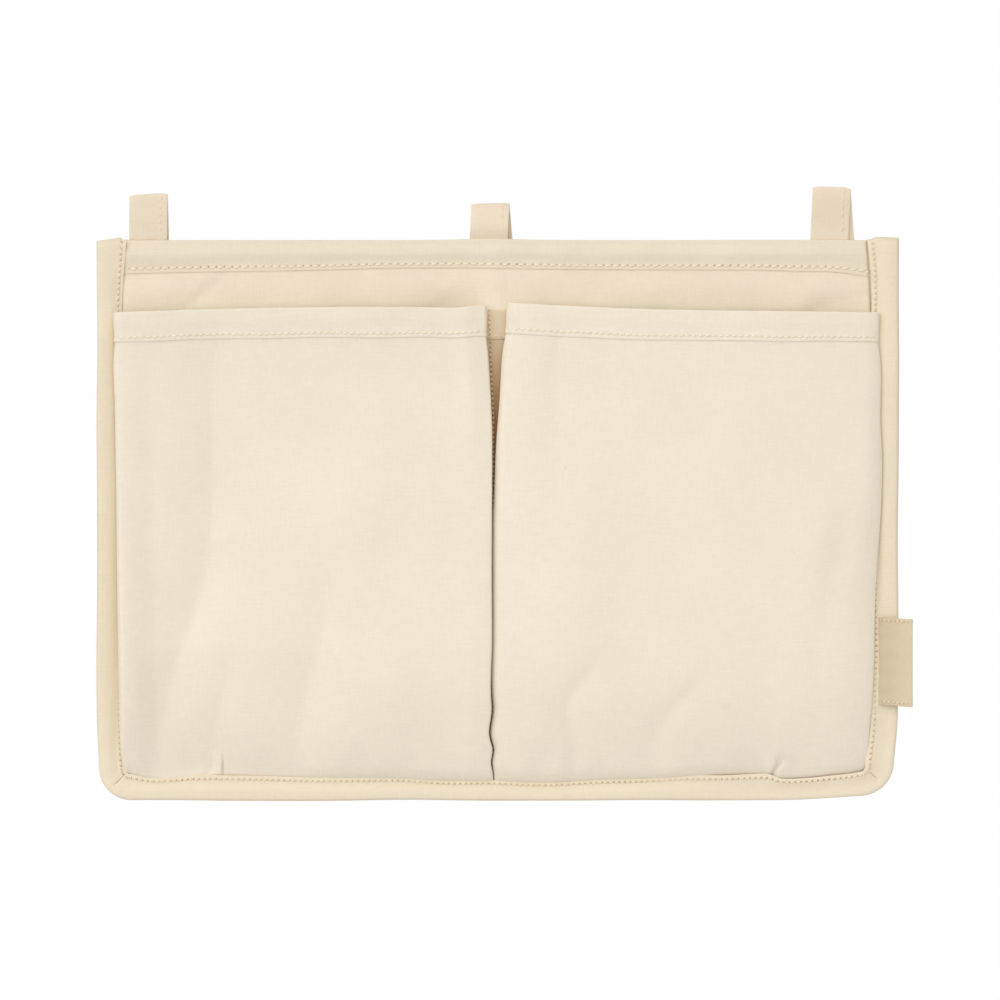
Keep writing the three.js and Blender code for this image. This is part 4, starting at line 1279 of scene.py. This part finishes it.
def label_points():
    """A ribbon folded in two over the binding: columns from its root to the fold and back, rows upward."""
    z = np.linspace(LABEL_LOW[2] + LABEL_HEM, LABEL_HIGH[2], 25)[:, None]
    out = np.linspace(LABEL_ROOT, LABEL_TIP, 22)
    turn = half_turn(7)[0, 1:]
    front = curve_through(LABEL_FRONT, out)
    fold = front[-1] + RIBBON_FOLD * (1 + np.sin(turn))
    x = np.concatenate([out, LABEL_TIP + RIBBON_FOLD * np.cos(turn), out[::-1][1:]])[None, :]
    y = np.concatenate([front, fold, (front + 2 * RIBBON_FOLD)[::-1][1:]])[None, :]
    middle = (LABEL_LOW[2] + LABEL_HIGH[2]) / 2
    far = ease(LABEL_ROOT, LABEL_TIP, x)
    sag = -0.9 * far - 0.4 * far * ease(middle - 10, LABEL_LOW[2], z)
    curl = 0.5 * far * ((z - middle) / 22) ** 2 + 0.2 * unevenness(x, z, 26, 71)
    gather = 0.25 * (1 - far) * np.cos(2 * math.pi * z / 9)
    return grid_of(x, y - curl - gather, z + sag)


class CADDY_OT_label(bpy.types.Operator):
    """Makes the bare side label and its edge stitches"""

    bl_idname = "caddy.label"
    bl_label = "Label"

    def execute(self, context):
        sizes, colours = context.scene.caddy_sizes, context.scene.caddy_colours
        points = label_points()
        pitch = LABEL_STITCH * sizes.stitch_pitch / MM
        height = flat_measures(points)[1][-1]
        rows = [LABEL_MARGIN, height - LABEL_MARGIN]
        # painted shade: the ribbon is darker near its root, beside the binding's roll and the pocket
        material = cloth_material(
            "label_ribbon", colours.label, sizes, pitch=0.5, rows=rows, stitch=LABEL_STITCH, holes=0.5,
            painted_shade=("X", 3, 14, (0.87, 0.84, 0.84, 1)), roughness=0.6, relief=0.35, sheen=0.3)
        piece = make_cloth("side_label_ribbon", points, RIBBON, material)
        runs = []
        for row in rows:
            seam, out = on_cloth(points, hole_places(1, LABEL_TIP - LABEL_ROOT - 3, pitch), row)
            runs.append((seam + out * RIBBON / 2, out))
        thread = thread_material(context, "label", (0.88, 0.85, 0.82))
        stitches = sew("side_label_stitches", runs, sizes, thread)
        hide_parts("side_label")
        for part in (piece, stitches):
            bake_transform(part)
        return {"FINISHED"}


# Stage

VIEW_WIDTH = 0.4963  # metres across the picture at the panel
VIEW_HEIGHT = -0.142  # height of the picture's middle
CAMERA_AWAY = 3.0
SENSOR = 0.036
SKY_STRENGTH = 0.42
KEY_LIGHT = ((-0.5, -1.0, 0.7), 1.72, 100)  # where it shines from, its strength, its softness in degrees
FILL_LIGHT = ((0.1, -1.0, -0.15), 0.46, 110)
FLOOR_RADIUS, FLOOR_HEIGHT = 0.62, -0.5


def sun_light(name, place, strength, softness):
    """A broad even light that shines from a place towards the caddy."""
    light = bpy.data.lights.new(name, "SUN")
    light.energy = strength
    light.angle = math.radians(softness)
    lamp = bpy.data.objects.new(name, light)
    lamp.location = place
    lamp.rotation_euler = (-Vector(place)).to_track_quat("-Z", "Y").to_euler()
    bpy.context.scene.collection.objects.link(lamp)


def white_world(scene, strength):
    """A dim white sky that looks white to the camera and in reflections."""
    world = bpy.data.worlds.new("Studio")
    world.use_nodes = True
    scene.world = world
    tree = world.node_tree
    sky = tree.nodes["Background"]
    sky.inputs["Color"].default_value = (1, 1, 1, 1)
    path = tree.nodes.new("ShaderNodeLightPath")
    seen = math_node(tree, "MAXIMUM", path.outputs["Is Camera Ray"], path.outputs["Is Glossy Ray"])
    seen = math_node(tree, "MAXIMUM", seen, path.outputs["Is Transmission Ray"])
    level = math_node(tree, "MULTIPLY_ADD", seen, 1 - strength, strength)
    tree.links.new(level, sky.inputs["Strength"])


class CADDY_OT_stage(bpy.types.Operator):
    """Makes the floor, the soft light and the camera"""

    bl_idname = "caddy.stage"
    bl_label = "Stage"

    def execute(self, context):
        scene = context.scene
        scene.view_settings.view_transform = "Standard"
        white_world(scene, SKY_STRENGTH)
        sun_light("key", *KEY_LIGHT)
        sun_light("fill", *FILL_LIGHT)
        bm = bmesh.new()
        bmesh.ops.create_circle(bm, cap_ends=True, segments=96, radius=FLOOR_RADIUS,
                                matrix=Matrix.Translation((0, 0, FLOOR_HEIGHT)))
        floor = new_piece("floor", bm, floor_material())
        data = bpy.data.cameras.new("camera")
        data.sensor_width = SENSOR / MM
        data.lens = SENSOR / MM * CAMERA_AWAY / VIEW_WIDTH
        camera = bpy.data.objects.new("camera", data)
        camera.location = (0, -CAMERA_AWAY, VIEW_HEIGHT)
        camera.rotation_euler = (math.pi / 2, 0, 0)
        scene.collection.objects.link(camera)
        scene.camera = camera
        return {"FINISHED"}


def floor_material():
    """A plain pale floor."""
    material = bpy.data.materials.new("floor")
    material.use_nodes = True
    shader = material.node_tree.nodes["Principled BSDF"]
    shader.inputs["Base Color"].default_value = (0.9, 0.9, 0.9, 1)
    shader.inputs["Roughness"].default_value = 0.9
    return material


OPERATORS = (
    CADDY_OT_stage, CADDY_OT_panel, CADDY_OT_top_hem, CADDY_OT_interlining, CADDY_OT_lining,
    CADDY_OT_binding, CADDY_OT_divider, CADDY_OT_pockets, CADDY_OT_loops, CADDY_OT_label,
)


class CADDY_PT_sidebar(bpy.types.Panel):
    """The caddy's settings and steps"""

    bl_idname = "CADDY_PT_sidebar"
    bl_label = "Bedside Caddy"
    bl_space_type = "VIEW_3D"
    bl_region_type = "UI"
    bl_category = "Caddy"

    def draw(self, context):
        for settings in (context.scene.caddy_sizes, context.scene.caddy_colours):
            box = self.layout.box()
            for label in settings.__annotations__:
                box.prop(settings, label)
        for operator in OPERATORS:
            self.layout.operator(operator.bl_idname)


CLASSES = (CaddySizes, CaddyColours, *OPERATORS, CADDY_PT_sidebar)


def register():
    """Adds the settings, steps and sidebar."""
    for cls in CLASSES:
        bpy.utils.register_class(cls)
    bpy.types.Scene.caddy_sizes = bpy.props.PointerProperty(type=CaddySizes)
    bpy.types.Scene.caddy_colours = bpy.props.PointerProperty(type=CaddyColours)


def unregister():
    """Takes the settings, steps and sidebar away."""
    del bpy.types.Scene.caddy_colours
    del bpy.types.Scene.caddy_sizes
    for cls in reversed(CLASSES):
        bpy.utils.unregister_class(cls)


def main():
    """Makes the stage and every piece."""
    register()
    for operator in OPERATORS:
        group, step = operator.bl_idname.split(".")
        getattr(getattr(bpy.ops, group), step)()


if __name__ == "__main__":
    main()
